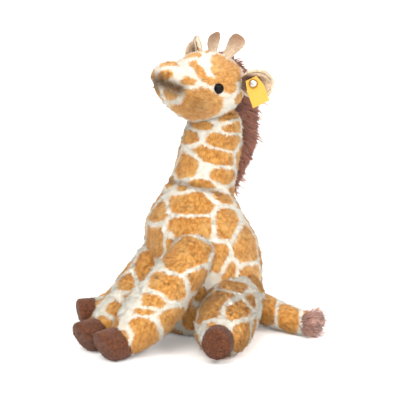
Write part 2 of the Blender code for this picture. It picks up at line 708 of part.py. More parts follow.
def make_tag(ear, ear_pieces, ribbon, brass, nickel):
    """A bare ribbon tag on the left ear, held by a rivet through both layers of the ear."""
    centre = ear.root + ear.axis * (ear.length * RIVET_SHARE)
    face = ear.face
    hang = (ear.axis * math.sin(TAG_HANG) - UP * math.cos(TAG_HANG)).normalized()
    hang = (hang - face * hang.dot(face)).normalized()
    across = hang.cross(face)
    level = SEAM_GAP + EAR_LINING + TAG_STANDOFF
    rings = []
    foot = TAG_LENGTH - TAG_HEAD
    stations = ((-TAG_HEAD, TAG_TOP_WIDTH, 0), (TAG_BEND_RUN, TAG_WIDTH, 0), (foot, TAG_WIDTH, 1))
    for run, width, lift in stations:
        rise = lift * (foot - TAG_BEND_RUN) * math.tan(TAG_BEND)
        middle = centre + hang * run + face * (level + rise + TAG_THICKNESS / 2)
        corners = []
        for wide, thick in ((-1, -1), (1, -1), (1, 1), (-1, 1)):
            corners.append(middle + across * (width / 2 * wide) + face * (TAG_THICKNESS / 2 * thick))
        rings.append(corners)
    tag = add_object("ear_tag", loft(rings, fans=False), ribbon)
    top = level + TAG_THICKNESS + SEAM_GAP
    low = -EAR_BACK - SEAM_GAP - RIVET_BACK
    cup = RIVET_RADIUS * RIVET_CUP_SHARE
    profile = [(low, RIVET_SHANK_RADIUS), (top, RIVET_SHANK_RADIUS), (top, RIVET_RADIUS)]
    profile += [(top + RIVET_RIM, RIVET_RADIUS), (top + RIVET_RIM, cup), (top + RIVET_RIM / 2, cup)]
    rivet = add_object("ear_rivet", turned(centre, face, profile, RIVET_SIDES), brass)
    inside = cup - SEAM_GAP / 2
    base = top + RIVET_RIM / 2 + SEAM_GAP / 2
    dome = [(base, inside)]
    dome += [(base + RIVET_DOME * height, inside * radius) for height, radius in EYE_DOME_SHARES[1:]]
    button = add_object("rivet_dome", turned(centre, face, dome, RIVET_SIDES), nickel)
    plate = bar(centre, face, RIVET_BACK_RADIUS, low, -EAR_BACK - SEAM_GAP, RIVET_SIDES)
    back = add_object("rivet_back", plate, brass)
    cutter = add_object(
        "rivet_bore", bar(centre, face, RIVET_SHANK_RADIUS + SEAM_GAP, low - OVERRUN, top, RIVET_SIDES)
    )
    for piece in (tag, back, *ear_pieces):
        cut(piece, cutter)
    return tag, rivet, button, back


def hang_on(joint, pivot, pieces):
    """Puts pieces under an empty on their joint's axis, with their place unchanged."""
    axle = bpy.data.objects.new(joint, None)
    axle.location = pivot
    bpy.context.scene.collection.objects.link(axle)
    for piece in pieces:
        piece.data.transform(Matrix.Translation(-pivot))
        piece.parent = axle


def main():
    for piece in list(bpy.data.objects):
        bpy.data.objects.remove(piece, do_unlink=True)
    plush = finish("plush", PLUSH, 0.9)
    fibre = finish("fibre", FIBRE, 1.0)
    hoof_plush = finish("hoof_plush", HOOF_BROWN, 0.9)
    fur = finish("mane_fur", MANE_BROWN, 0.9)
    suede = finish("suede", SUEDE, 0.85)
    lining = finish("ear_lining", LINING, 0.85)
    black = finish("eye_black", EYE_BLACK, 0.08)
    clear = finish("washer", FIBRE, 0.5)
    ribbon = finish("ribbon", RIBBON_YELLOW, 0.6)
    brass = finish("brass", BRASS, 0.25, 1.0)
    nickel = finish("nickel", NICKEL, 0.2, 1.0)

    floor_block = bmesh.new()
    bmesh.ops.create_cube(floor_block, size=FLOOR_SPAN)
    bmesh.ops.translate(floor_block, verts=floor_block.verts, vec=-UP * (FLOOR_SPAN / 2))
    floor = add_object("floor_block", floor_block)

    torso = make_torso(plush, fibre)
    neck = neck_limb()
    neck_pieces = make_neck(neck, plush, fibre)
    seat_in(torso, "neck_seat", neck.root, neck.root_radius)

    head = Head(neck.end)
    covers = make_head(head, plush, fibre)
    seat_in(covers, "head_seat", neck.end, NECK_TOP_RADIUS)
    mane = make_mane(neck, head, fur)
    hang_on("neck_bend", neck.root, [*neck_pieces, mane])

    on_head = []
    for side, hand in (("left", 1), ("right", -1)):
        on_head += make_eye(f"eye_{side}", head, hand, covers, black, clear)
        on_head.append(make_horn(f"horn_{side}", head, hand, covers, suede))
    left_lie = (LEFT_EAR_SHARES, LEFT_EAR_AXIS, LEFT_EAR_FACE, LEFT_EAR_CURL)
    right_lie = (RIGHT_EAR_SHARES, RIGHT_EAR_AXIS, RIGHT_EAR_FACE, RIGHT_EAR_CURL)
    left_ear = Ear(head, 1, *left_lie, EAR_LENGTH_LEFT)
    right_ear = Ear(head, -1, *right_lie, EAR_LENGTH_RIGHT)
    left_leaf = make_ear("ear_left", left_ear, covers, plush, lining)
    right_leaf = make_ear("ear_right", right_ear, covers, plush, lining)
    tag, *rivet = make_tag(left_ear, left_leaf, ribbon, brass, nickel)
    hang_on("head_nod", neck.end, [*covers, *on_head])
    hang_on("ear_left_flap", left_ear.root, [*left_leaf, *rivet])
    hang_on("ear_right_flap", right_ear.root, right_leaf)
    hang_on("tag_turn", left_ear.root + left_ear.axis * (left_ear.length * RIVET_SHARE), [tag])

    fore_hoof = (FORE_HOOF_TOP, FORE_HOOF_HEEL)
    hind_hoof = (HIND_HOOF_TOP, HIND_HOOF_HEEL)
    left_place = (FORELEG_LEFT_ROOT_SHARES, FORELEG_REACH_LEFT, FORELEG_OUT, 0, FORELEG_END_LEFT)
    right_place = (FORELEG_RIGHT_ROOT_SHARES, FORELEG_REACH_RIGHT, 0, FORELEG_SAG, FORELEG_END_RIGHT)
    left_hind = (HINDLEG_SPREAD_LEFT, HINDLEG_REACH_LEFT, HINDLEG_BOW, HINDLEG_HOOF_RISE, HOOF_HEIGHT)
    right_hind = (HINDLEG_SPREAD_RIGHT, HINDLEG_REACH_RIGHT, -HINDLEG_SAG, 0, FLAT_HOOF_HEIGHT)
    left_hind += (HINDLEG_SHARES,)
    right_hind += (FLAT_HINDLEG_SHARES,)
    legs = {
        "foreleg_left": (foreleg_limb(1, *left_place, FORELEG_LEFT_SHARES), fore_hoof),
        "foreleg_right": (foreleg_limb(-1, *right_place, FORELEG_RIGHT_SHARES), fore_hoof),
        "hindleg_left": (hindleg_limb(1, *left_hind), hind_hoof),
        "hindleg_right": (hindleg_limb(-1, *right_hind), hind_hoof),
    }
    for name, (limb, lengths) in legs.items():
        in_hoof = hoof_rings(limb, lengths, -FABRIC - FILLING_GAP, LEG_SIDES)[1:]
        raised = FORELEG_RAISED if lengths == fore_hoof else 0
        pieces = make_limb(name, limb, LEG_SIDES, plush, fibre, floor, in_hoof, raised)
        hoof = make_hoof(f"{name}_hoof", limb, lengths, hoof_plush, floor)
        seat_in(torso, f"{name}_seat", limb.root, limb.root_radius)
        hang_on(f"{name}_turn", limb.root, [*pieces, hoof])

    tail = tail_limb()
    tail_pieces = make_limb("tail", tail, TAIL_SIDES, plush, fibre, floor)
    tuft = make_tuft(tail, fur, floor)
    seat_in(torso, "tail_seat", tail.root, tail.root_radius)
    hang_on("tail_swing", tail.root, [*tail_pieces, tuft])


main()
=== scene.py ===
"""The seated plush giraffe as it looks: stuffed skins with pile, a fur mane, suede horns, lined ears.

Metres, +Z up, the giraffe faces -Y, its left side is +X, the floor is at Z = 0.
"""

import math

import bmesh
import bpy
import numpy as np
from mathutils import Matrix, Vector, noise
from mathutils.bvhtree import BVHTree


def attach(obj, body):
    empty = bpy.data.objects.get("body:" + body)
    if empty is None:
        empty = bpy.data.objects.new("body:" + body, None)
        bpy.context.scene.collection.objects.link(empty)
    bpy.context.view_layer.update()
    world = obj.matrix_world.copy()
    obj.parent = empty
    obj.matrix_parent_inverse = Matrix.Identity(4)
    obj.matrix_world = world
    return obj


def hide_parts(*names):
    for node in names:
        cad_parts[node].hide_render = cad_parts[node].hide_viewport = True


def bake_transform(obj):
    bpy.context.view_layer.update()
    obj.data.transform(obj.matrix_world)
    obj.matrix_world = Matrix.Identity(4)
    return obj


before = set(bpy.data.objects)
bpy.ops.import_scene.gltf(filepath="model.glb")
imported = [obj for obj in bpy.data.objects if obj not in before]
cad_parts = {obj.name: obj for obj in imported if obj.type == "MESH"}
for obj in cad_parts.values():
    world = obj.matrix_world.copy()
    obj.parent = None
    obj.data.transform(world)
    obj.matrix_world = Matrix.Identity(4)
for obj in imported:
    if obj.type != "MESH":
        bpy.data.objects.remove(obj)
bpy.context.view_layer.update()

MM = 0.001
UP = Vector((0, 0, 1))
AHEAD = Vector((0, -1, 0))
LEFT = Vector((1, 0, 0))

# The camera of the photograph
AZIMUTH = math.radians(45)
ELEVATION = math.radians(11.3)
DISTANCE = 1.5
TARGET = Vector((0, -0.006, 0.119))
LENS = 150
SENSOR = 36
PICTURE = 400

# Skins and pile
STUFFING_CELL = 0.0018
PILE_LENGTH = 0.0032
PILE_ROOM = 0.0013
SWELL_CAP = 0.0011
SWELL_FRAMES = 20
PRESSURE = 4.0
SMOOTHING = 4
FLOOR_CLEAR = 0.0002
SKIN_CLEAR = 0.0008
STRAND_THICKNESS = 0.00055
STRAND_CLEAR = 0.0006
FUR_CELL = 0.0018
HOOF_CELL = 0.0017
HORN_CELL = 0.0011
EAR_CELL = 0.0009
EYE_RADIUS = 4.75 * MM
EYE_RISE = 4.0 * MM
EYE_SUNK = 3.6 * MM
NOISE_SEED = 7

# Blender takes the seed of its noise vectors from the clock unless it is set
noise.seed_set(NOISE_SEED)


def place(x, y, z):
    """A point in millimetres."""
    return Vector((x, y, z)) * MM


def coordinates(mesh):
    flat = np.empty(len(mesh.vertices) * 3, np.float32)
    mesh.vertices.foreach_get("co", flat)
    return flat.reshape(-1, 3).astype(float)


def set_coordinates(mesh, points):
    mesh.vertices.foreach_set("co", points.astype(np.float32).ravel())
    mesh.update()


def normals_of(mesh):
    flat = np.empty(len(mesh.vertices) * 3, np.float32)
    mesh.vertex_normals.foreach_get("vector", flat)
    return flat.reshape(-1, 3).astype(float)


def add_value(mesh, name, values):
    layer = mesh.attributes.get(name) or mesh.attributes.new(name, "FLOAT", "POINT")
    layer.data.foreach_set("value", np.asarray(values, np.float32))


def add_piece(name, body, smooth=True):
    """The bmesh as a new object in the scene."""
    mesh = bpy.data.meshes.new(name)
    body.to_mesh(mesh)
    body.free()
    if smooth:
        mesh.shade_smooth()
    piece = bpy.data.objects.new(name, mesh)
    bpy.context.scene.collection.objects.link(piece)
    return piece


def apply(piece):
    """Puts the modifiers of a piece into its mesh."""
    graph = bpy.context.evaluated_depsgraph_get()
    done = bpy.data.meshes.new_from_object(piece.evaluated_get(graph))
    piece.modifiers.clear()
    old = piece.data
    piece.data = done
    bpy.data.meshes.remove(old)
    piece.data.name = piece.name
    return piece


def remesh(piece, cell):
    voxels = piece.modifiers.new("even", "REMESH")
    voxels.mode = "VOXEL"
    voxels.voxel_size = cell
    voxels.use_smooth_shade = True
    return apply(piece)


def subdivide(piece):
    finer = piece.modifiers.new("finer", "SUBSURF")
    finer.levels = 1
    finer.render_levels = 1
    return apply(piece)


def relax(piece, rounds):
    """Smooths a skin by moving each point halfway to its neighbours."""
    body = bmesh.new()
    body.from_mesh(piece.data)
    for _ in range(rounds):
        bmesh.ops.smooth_vert(
            body, verts=body.verts, factor=0.5, use_axis_x=True, use_axis_y=True, use_axis_z=True
        )
    body.to_mesh(piece.data)
    body.free()
    return piece


def grow(piece, by):
    """Moves a skin out along its normals, or in where by is below zero."""
    set_coordinates(piece.data, coordinates(piece.data) + normals_of(piece.data) * by)
    return piece


def section(centre, side, up, wide, high):
    """One round or oval section of a stuffed form."""
    return centre, side.normalized(), up.normalized(), wide, high


def loft(name, sections, sides=28):
    """A closed skin through sections, from its first to its last."""
    body = bmesh.new()
    loops = []
    for centre, side, up, wide, high in sections:
        ring = bmesh.ops.create_circle(body, cap_ends=False, segments=sides, radius=1.0)["verts"]
        turn = Matrix((side * wide, up * high, side.cross(up))).transposed().to_4x4()
        turn.translation = centre
        bmesh.ops.transform(body, matrix=turn, verts=ring)
        loops.append(list(dict.fromkeys(edge for vert in ring for edge in vert.link_edges)))
    ends = []
    for loop in (loops[0], loops[-1]):
        ends += bmesh.ops.edgeloop_fill(body, edges=loop)["faces"]
    for near, far in zip(loops, loops[1:]):
        bmesh.ops.bridge_loops(body, edges=near + far)
    bmesh.ops.poke(body, faces=ends)
    bmesh.ops.recalc_face_normals(body, faces=body.faces)
    return add_piece(name, body)


def from_nodes(name, nodes, hull=False):
    """A skin that starts as merged copies of CAD nodes."""
    body = bmesh.new()
    for node in nodes:
        body.from_mesh(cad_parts[node].data)
    bmesh.ops.remove_doubles(body, verts=body.verts, dist=1e-6)
    if hull:
        shell = bmesh.ops.convex_hull(body, input=body.verts)
        spare = dict.fromkeys(shell["geom_interior"] + shell["geom_unused"])
        loose = [item for item in spare if isinstance(item, bmesh.types.BMVert)]
        bmesh.ops.delete(body, geom=loose, context="VERTS")
        inner = [face for face in body.faces if face not in set(shell["geom"])]
        bmesh.ops.delete(body, geom=inner, context="FACES")
    return add_piece(name, body)


def press(piece, moves):
    """Pushes or pulls a skin about places, with a soft edge."""
    points = coordinates(piece.data)
    for spot, reach, move in moves:
        away = np.linalg.norm(points - np.array(spot), axis=1) / reach
        share = np.clip(1 - away**2, 0, 1) ** 2
        points += share[:, None] * np.array(move)
    set_coordinates(piece.data, points)


def stuff(piece):
    """Blows the skin up as cloth under pressure, and keeps each point within the cap of where it was."""
    start = coordinates(piece.data)
    cloth = piece.modifiers.new("stuffed", "CLOTH")
    cloth.settings.quality = 4
    cloth.settings.use_pressure = True
    cloth.settings.uniform_pressure_force = PRESSURE
    cloth.settings.effector_weights.gravity = 0
    scene = bpy.context.scene
    for step in range(1, SWELL_FRAMES + 1):
        scene.frame_set(step)
    apply(piece)
    scene.frame_set(1)
    move = coordinates(piece.data) - start
    reach = np.linalg.norm(move, axis=1)
    keep = np.minimum(1, SWELL_CAP / np.maximum(reach, 1e-9))
    set_coordinates(piece.data, start + move * keep[:, None])


def rest_on_floor(piece):
    points = coordinates(piece.data)
    points[:, 2] = np.maximum(points[:, 2], SKIN_CLEAR)
    set_coordinates(piece.data, points)


# The camera looks along the photograph's view
BACK = Vector(
    (
        math.sin(AZIMUTH) * math.cos(ELEVATION),
        -math.cos(AZIMUTH) * math.cos(ELEVATION),
        math.sin(ELEVATION),
    )
)
ACROSS = Vector((math.cos(AZIMUTH), math.sin(AZIMUTH), 0))
RISE = BACK.cross(ACROSS)
PIXEL = SENSOR / LENS / PICTURE


def sight(x, y):
    """Where the line of sight through a pixel of the photograph starts, and where it runs."""
    half = PICTURE / 2
    ray = ACROSS * ((x - half) * PIXEL) + RISE * ((half - y) * PIXEL) - BACK
    return TARGET + BACK * DISTANCE, ray.normalized()


# Stuffed skins, before their pile


def bowed(root, bend, end, share):
    return root.lerp(bend, share).lerp(bend.lerp(end, share), share)


def limb_sections(root, bend, end, root_radius, shares, tip):
    """Sections of a bent limb: a domed root, the tube, and the end that the hoof or tuft is sewn to."""
    sections = []
    along = (bend - root).normalized()
    side = along.cross(UP).normalized()
    for angle in (12, 35, 60, 85):
        turn = math.radians(angle)
        centre = root - along * (root_radius * math.cos(turn))
        radius = root_radius * math.sin(turn)
        sections.append(section(centre, side, side.cross(along), radius, radius))
    for share, wide, high in shares:
        along = (bowed(root, bend, end, share + 0.02) - bowed(root, bend, end, share - 0.02)).normalized()
        side = along.cross(UP).normalized()
        centre = bowed(root, bend, end, share)
        sections.append(section(centre, side, side.cross(along), wide * MM, high * MM))
    for share, wide, high in tip:
        side = along.cross(UP).normalized()
        sections.append(section(end + along * (share * MM), side, side.cross(along), wide * MM, high * MM))
    return sections


# Trunk: torso and neck in one skin. Height, forward shift, half width and half depth in millimetres
TRUNK_SECTIONS = (
    (0, 0, 34.5, 34.5), (1.8, 0, 40, 40), (7.9, 0, 45.3, 45.3), (20, 0, 49.3, 49.3), (41, 0.5, 52.5, 52.5),
    (64, 1.6, 52.9, 52.9), (83.5, 4.8, 50.6, 50.6), (99.2, 10.1, 46.1, 46.1), (109, 12.2, 41.2, 41.2),
    (117, 11.8, 36.4, 36.6), (125, 9.0, 32.4, 33.2), (134, 4.8, 29.6, 30.8), (144, 0.1, 28.1, 29.6),
    (153, -3.5, 27.4, 29.0), (163, -6.6, 27.0, 28.5), (173, -9.0, 26.6, 27.6), (183, -11.5, 25.5, 25.5),
    (193, -13.0, 22.5, 22.0), (200, -13.5, 15, 14), (203, -13.5, 6, 6),
)
# Head: millimetres along from the front, height of the underside and of the top, and half width
HEAD_SECTIONS = (
    (-57.2, 232.5, 236.0, 3.5), (-56.3, 228.4, 239.4, 8.5), (-53.5, 222.6, 243.0, 13.6),
    (-49.1, 217.3, 246.0, 17.4), (-42.0, 208.4, 247.0, 20.4), (-33.0, 200.6, 245.0, 22.4),
    (-25.0, 195.4, 245.7, 24.1), (-15.1, 191.8, 251.1, 26.0), (-3.1, 190.0, 253.0, 27.4),
    (9.0, 190.0, 252.0, 28.0), (19.9, 194.0, 248.6, 26.6), (28.9, 201.0, 242.6, 22.4),
    (34.9, 208.9, 234.7, 14.0), (37.4, 216, 228, 6.0),
)
# Share along a leg, half width and half height in millimetres, and past its end
FORELEG_TUBE = (
    (0.12, 20, 20), (0.25, 20, 20), (0.48, 20, 20), (0.68, 19.4, 19.4), (0.84, 17.6, 17.8),
    (0.95, 15.6, 16.0),
)
BROAD_TUBE = (
    (0.12, 20.2, 20.2), (0.25, 20.8, 20.8), (0.48, 23.2, 23.2), (0.68, 23.6, 23.6), (0.84, 20.8, 20.8),
    (0.95, 16.8, 17.0),
)
FORELEG_TIP = ((1.5, 14.2, 14.6), (5, 12, 12), (8, 6, 6))
HINDLEG_TUBE = (
    (0.15, 26.5, 26.5), (0.30, 26.5, 26.5), (0.52, 26.2, 26.0), (0.70, 25.8, 25.4), (0.84, 24.2, 22.8),
    (0.94, 21.2, 19.8),
)
HINDLEG_TIP = ((0.6, 17.6, 16.8), (3.0, 13.0, 13.0), (4.6, 7, 7))
FLAT_HINDLEG_TUBE = (
    (0.15, 26.0, 25.0), (0.30, 24.6, 22.6), (0.52, 22.6, 18.4), (0.70, 21.4, 14.7), (0.84, 19.6, 12.8),
    (0.94, 17.0, 12.4),
)
FLAT_HINDLEG_TIP = ((0.6, 15.0, 11.8), (3.0, 12.0, 10.0), (4.6, 7, 6))
TAIL_TUBE = (
    (0.12, 15.2, 15.2), (0.25, 14.3, 14.3), (0.50, 13.3, 13.3), (0.75, 12.2, 12.2), (0.95, 11.3, 11.3),
)
TAIL_TIP = ((1.5, 10, 10), (4, 6, 6))

LIMBS = {
    "foreleg_left": (place(28.1, -42.4, 79.3), place(20.5, -119.4, 14.0)),
    "foreleg_right": (place(-23.9, -37.9, 62.0), place(-14.2, -112.7, 14.0)),
    "hindleg_left": (place(37.6, 1.6, 34.5), place(85.6, -67.9, 19.0)),
    "hindleg_right": (place(-37.6, 1.6, 34.5), place(-78.6, -60.9, 11.75)),
    "tail": (place(10.1, 41.1, 19.4), place(85.1, 43.1, 10.7)),
}


def trunk_skin():
    sections = []
    for height, forward, wide, deep in TRUNK_SECTIONS:
        sections.append(section(place(0, -forward, height), LEFT, AHEAD, wide * MM, deep * MM))
    return loft("trunk_skin", sections, 40)


def head_skin():
    sections = []
    for back, low, top, wide in HEAD_SECTIONS:
        middle = place(0, back, (low + top) / 2)
        sections.append(section(middle, LEFT, UP, wide * MM, (top - low) / 2 * MM))
    return loft("head_skin", sections, 32)


def limb_skin(name):
    root, end = LIMBS[name]
    if name.startswith("foreleg"):
        rise = LEFT.cross(root - end).normalized()
        near = name == "foreleg_left"
        bend = root.lerp(end, 0.45) + (LEFT * (7 * MM) if near else rise * (-3 * MM))
        sections = limb_sections(root, bend, end, 20 * MM, BROAD_TUBE if near else FORELEG_TUBE, FORELEG_TIP)
    elif name.startswith("hindleg"):
        near = name == "hindleg_left"
        bend = root.lerp(end, 0.5) + UP * ((1 if near else -3) * MM)
        forms = (HINDLEG_TUBE, HINDLEG_TIP) if near else (FLAT_HINDLEG_TUBE, FLAT_HINDLEG_TIP)
        sections = limb_sections(root, bend, end, 26.5 * MM, *forms)
    else:
        bend = root.lerp(end, 0.5) + AHEAD * (6 * MM) - UP * (1.2 * MM)
        sections = limb_sections(root, bend, end, 15.5 * MM, TAIL_TUBE, TAIL_TIP)
    return loft(f"{name}_skin", sections)


# The seam between neck and torso lies square to the neck's lean
NECK_SEAM = place(0, -7.5, 129.5)
NECK_AXIS = Vector((0, 0.34, 0.94)).normalized()
SEAM_WIDTH = 0.0032
SEAM_DEPTH = 0.0016


def neck_crease(piece):
    """Draws the neck's seam in round the trunk, with the fabric full on its lower side."""
    points, normals = coordinates(piece.data), normals_of(piece.data)
    level = (points - np.array(NECK_SEAM)) @ np.array(NECK_AXIS)
    drawn = np.exp(-((level / SEAM_WIDTH) ** 2)) * SEAM_DEPTH
    full = np.exp(-(((level + 2.2 * SEAM_WIDTH) / (1.6 * SEAM_WIDTH)) ** 2)) * SEAM_DEPTH * 0.7
    set_coordinates(piece.data, points + normals * (full - drawn)[:, None])


def finish_skin(piece, moves=()):
    """Evens out, shapes and stuffs a skin, ready for its pattern and pile."""
    remesh(piece, STUFFING_CELL)
    relax(piece, SMOOTHING)
    press(piece, moves)
    stuff(piece)
    grow(piece, -PILE_ROOM)
    if piece.name == "trunk_skin":
        neck_crease(piece)
    subdivide(piece)
    rest_on_floor(piece)


# Pattern: each patch of the photograph, by the pixel of its middle, its width and height in pixels, its turn
# in degrees and, where two patches run into each other, the number of the family that they share
PATCHES_SEEN = (
    # head
    (191, 57.5, 17, 8, 15), (196.8, 70.5, 24, 8, -54, 1), (208.5, 82, 13, 8, 0, 1),
    (225.3, 67.5, 30, 24, -12, 1), (223, 85, 23, 15, 0, 1), (196.5, 103, 46, 27, 8),
    (166.5, 65.5, 19, 9, 10), (165, 74, 13, 10, 20), (188, 82, 14, 8, -10), (172.5, 95, 19, 10, -15),
    (238.5, 98, 13, 11, 15),
    # neck
    (232, 114.5, 28, 11, 26), (233.3, 126, 23, 11, 14), (225.3, 140.8, 34, 15, -6),
    (200.5, 125, 23, 8, -4), (190.9, 137, 15, 18, 20), (211.2, 154, 43, 15, -14),
    (186.7, 163.5, 22, 27, -16), (224, 175.2, 26, 15, -4), (201.4, 182.5, 28, 8, -5),
    (172, 182, 12, 18, 20), (183, 188, 12, 8, 10), (222.5, 197, 28, 10, -14),
    # body
    (192, 203, 40, 20, 0), (191, 227, 40, 20, 0), (226.3, 224, 23, 30, 0), (245.3, 245, 26, 37, 12),
    (249.5, 276, 27, 28, 0), (218.8, 255.5, 17, 29, 0), (229, 270.5, 14, 22, -10), (158, 212, 22, 21, 20),
    (154, 239, 20, 31, 0), (170.3, 244.5, 8, 20, 0), (243.5, 217, 5, 20, -28), (192, 316, 18, 24, 0),
    (176, 331, 14, 8, 0), (200, 294, 12, 16, 0),
)
PATCHES_ON = {
    "foreleg_left": (
        (188, 254, 43, 32, 12), (199.3, 278, 26, 24, 20), (169, 285.5, 33, 22, -12),
        (154.5, 299.5, 20, 15, 0), (173, 322.3, 31, 26, 10), (146, 336, 34, 32, -10),
        (126, 337, 13, 17, -35), (135, 353, 17, 10, -10), (146, 311, 20, 7, 0),
    ),
    "foreleg_right": (
        (148, 268, 24, 32, -20), (128, 282, 17, 21, 0), (133, 301, 22, 18, 0), (120, 310.5, 21, 20, 30),
        (106.5, 323.5, 21, 14, 0),
    ),
    "hindleg_left": (
        (214.5, 306, 34, 38, -20), (230.5, 286.5, 33, 9, -10), (233.5, 311, 34, 20, 0),
        (242.5, 339, 18, 38, 0), (212, 324, 15, 9, 20), (217, 363, 30, 8, 0), (250, 300, 10, 16, 0),
    ),
    "hindleg_right": ((101, 304, 14, 12, 0), (113, 301, 12, 10, 0)),
    "tail": ((265, 309, 19, 36, 0), (287.5, 318, 19, 28, 0), (305, 321, 5, 24, 0)),
}
# How far apart the patches lie where the photograph doesn't show them, in millimetres
HIDDEN_REACH = {"trunk": 13.5, "head": 9.0, "foreleg": 10.5, "hindleg": 11.5, "tail": 10.0}
# Width of the cream line between two patches, in millimetres
LINE = 3.5
# The patches fill rounded boxes: a higher corner power makes them squarer
CORNER = 3.2


def tree_of(piece):
    graph = bpy.context.evaluated_depsgraph_get()
    return BVHTree.FromObject(piece, graph)


def seen_patches(table, trees):
    """Each patch's middle on the skin that its sight line meets first, its half sizes, axes and family."""
    found = []
    for x, y, wide, high, turn, *family in table:
        start, ray = sight(x, y)
        hits = [tree.ray_cast(start, ray) for tree in trees]
        hits = [hit for hit in hits if hit[0] is not None]
        if not hits:
            continue
        spot, normal, _, _ = min(hits, key=lambda hit: hit[3])
        half_wide, half_high = wide * 0.5 * MM, high * 0.5 * MM
        angle = math.radians(turn)
        along = ACROSS * math.cos(angle) + RISE * math.sin(angle)
        sizes = (half_wide, half_high, max(half_wide, half_high) * 1.35)
        axes = np.array((along, BACK.cross(along), BACK))
        found.append((spot, sizes, axes, family[0] if family else 10 + len(found)))
    return found


def hidden_patches(points, normals, known, reach, seed):
    """More patches, spread over the sides that the photograph doesn't show."""
    chance = np.random.default_rng(seed)
    centres = [np.array(spot) for spot, *_ in known]
    sizes = [(wide + high) / 2 for _, (wide, high, _), *_ in known]
    facing = normals @ np.array(BACK)
    made = []
    for index in chance.permutation(len(points)):
        if facing[index] > 0.12:
            continue
        point = points[index]
        size = reach * chance.uniform(0.85, 1.15) * 0.86
        if centres:
            away = np.linalg.norm(np.array(centres) - point, axis=1)
            if (away < (np.array(sizes) + size) * 0.98 + LINE * 0.35 * MM).any():
                continue
        centres.append(point)
        sizes.append(size)
        made.append((Vector(point), (size * 1.15,) * 3, np.eye(3), 500 + len(made)))
    return made


def patch_depth(points, patches):
    """How far each point lies inside its patch, in millimetres; below zero on the cream between them."""
    best = np.full(len(points), 9.0)
    second = best.copy()
    best_size = np.full(len(points), 10 * MM)
    second_size = best_size.copy()
    best_family = np.full(len(points), -1)
    for spot, sizes, axes, family in patches:
        local = np.abs((points - np.array(spot)) @ axes.T) / np.array(sizes)
        share = (local**CORNER).sum(axis=1) ** (1 / CORNER)
        size = (sizes[0] + sizes[1]) / 2
        nearer = share < best
        other = best_family != family
        passed_on = nearer & other
        between = ~nearer & other & (share < second)
        second = np.where(passed_on, best, np.where(between, share, second))
        second_size = np.where(passed_on, best_size, np.where(between, size, second_size))
        best = np.where(nearer, share, best)
        best_size = np.where(nearer, size, best_size)
        best_family = np.where(nearer, family, best_family)
    inside = (1.0 - best) * best_size
    border = (second - best) / (1 / best_size + 1 / second_size) - LINE / 2 * MM
    return np.minimum(inside, border) / MM


# Pile: every face of a skin rises to a lock that leans with the nap


def along_route(points, route):
    """The direction of the nearest stretch of a route, for each point."""
    starts = np.array([np.array(spot) for spot in route[:-1]])
    ends = np.array([np.array(spot) for spot in route[1:]])
    middles = (starts + ends) / 2
    runs = ends - starts
    runs /= np.linalg.norm(runs, axis=1)[:, None]
    away = np.linalg.norm(points[:, None] - middles[None], axis=2)
    weight = 1 / (away + 0.004) ** 3
    flow = (weight[:, :, None] * runs[None]).sum(axis=1)
    return flow / np.linalg.norm(flow, axis=1)[:, None]


def raise_pile(piece, length, route, seed, lean=0.8, lock=0.0034, patches=None):
    """Gives a skin its pile, and the values that colour it: how far up the pile, for painted shade at the
    roots and random streaks, and how deep in a patch.
    """
    body = bmesh.new()
    body.from_mesh(piece.data)
    bases = len(body.verts)
    bmesh.ops.poke(body, faces=body.faces, center_mode="MEAN")
    body.to_mesh(piece.data)
    body.free()
    mesh = piece.data
    mesh.shade_smooth()
    points, normals = coordinates(mesh), normals_of(mesh)
    chance = np.random.default_rng(seed)
    if patches is not None:
        depth = patch_depth(points, patches)
        depth[bases:] += chance.normal(0, 0.75, len(points) - bases)
        add_value(mesh, "patch", depth)
    flow = along_route(points, route)
    flow -= normals * (flow * normals).sum(axis=1)[:, None]
    sway = np.array([noise.noise_vector(Vector(point) / lock) for point in points])
    swell = np.array([noise.noise(Vector(point) / (lock * 0.8) + UP * 7) for point in points])
    reach = length * (1 + 0.5 * swell + chance.normal(0, 0.14, len(points)))
    lift = flow * lean + sway * 0.8 + chance.normal(0, 0.18, points.shape)
    lift -= normals * np.minimum(0, (lift * normals).sum(axis=1))[:, None]
    tips = points + reach[:, None] * (normals * 0.5 + lift * 0.78)
    points = points + normals * (swell * 0.12 * length)[:, None]
    points[bases:] = tips[bases:]
    points[:, 2] = np.maximum(points[:, 2], FLOOR_CLEAR)
    set_coordinates(mesh, points)
    soft = normals * 0.6 + normals_of(mesh) * 0.4
    mesh.normals_split_custom_set_from_vertices(soft / np.linalg.norm(soft, axis=1)[:, None])
    streaks = points - flow * ((points * flow).sum(axis=1) * 0.72)[:, None]
    streak = np.array([noise.noise(Vector(point) / (lock * 0.42) + UP * 3) for point in streaks])
    # Painted shade: the roots take a lower tone than the tips, so the pile colours darker down at its roots;
    # streaks and swell add random tone
    tone = 0.35 + 0.8 * streak + 0.5 * swell
    tone[bases:] += 0.3 + chance.normal(0, 0.16, len(points) - bases)
    add_value(mesh, "tip", np.clip(tone, 0, 1.2))
    return piece


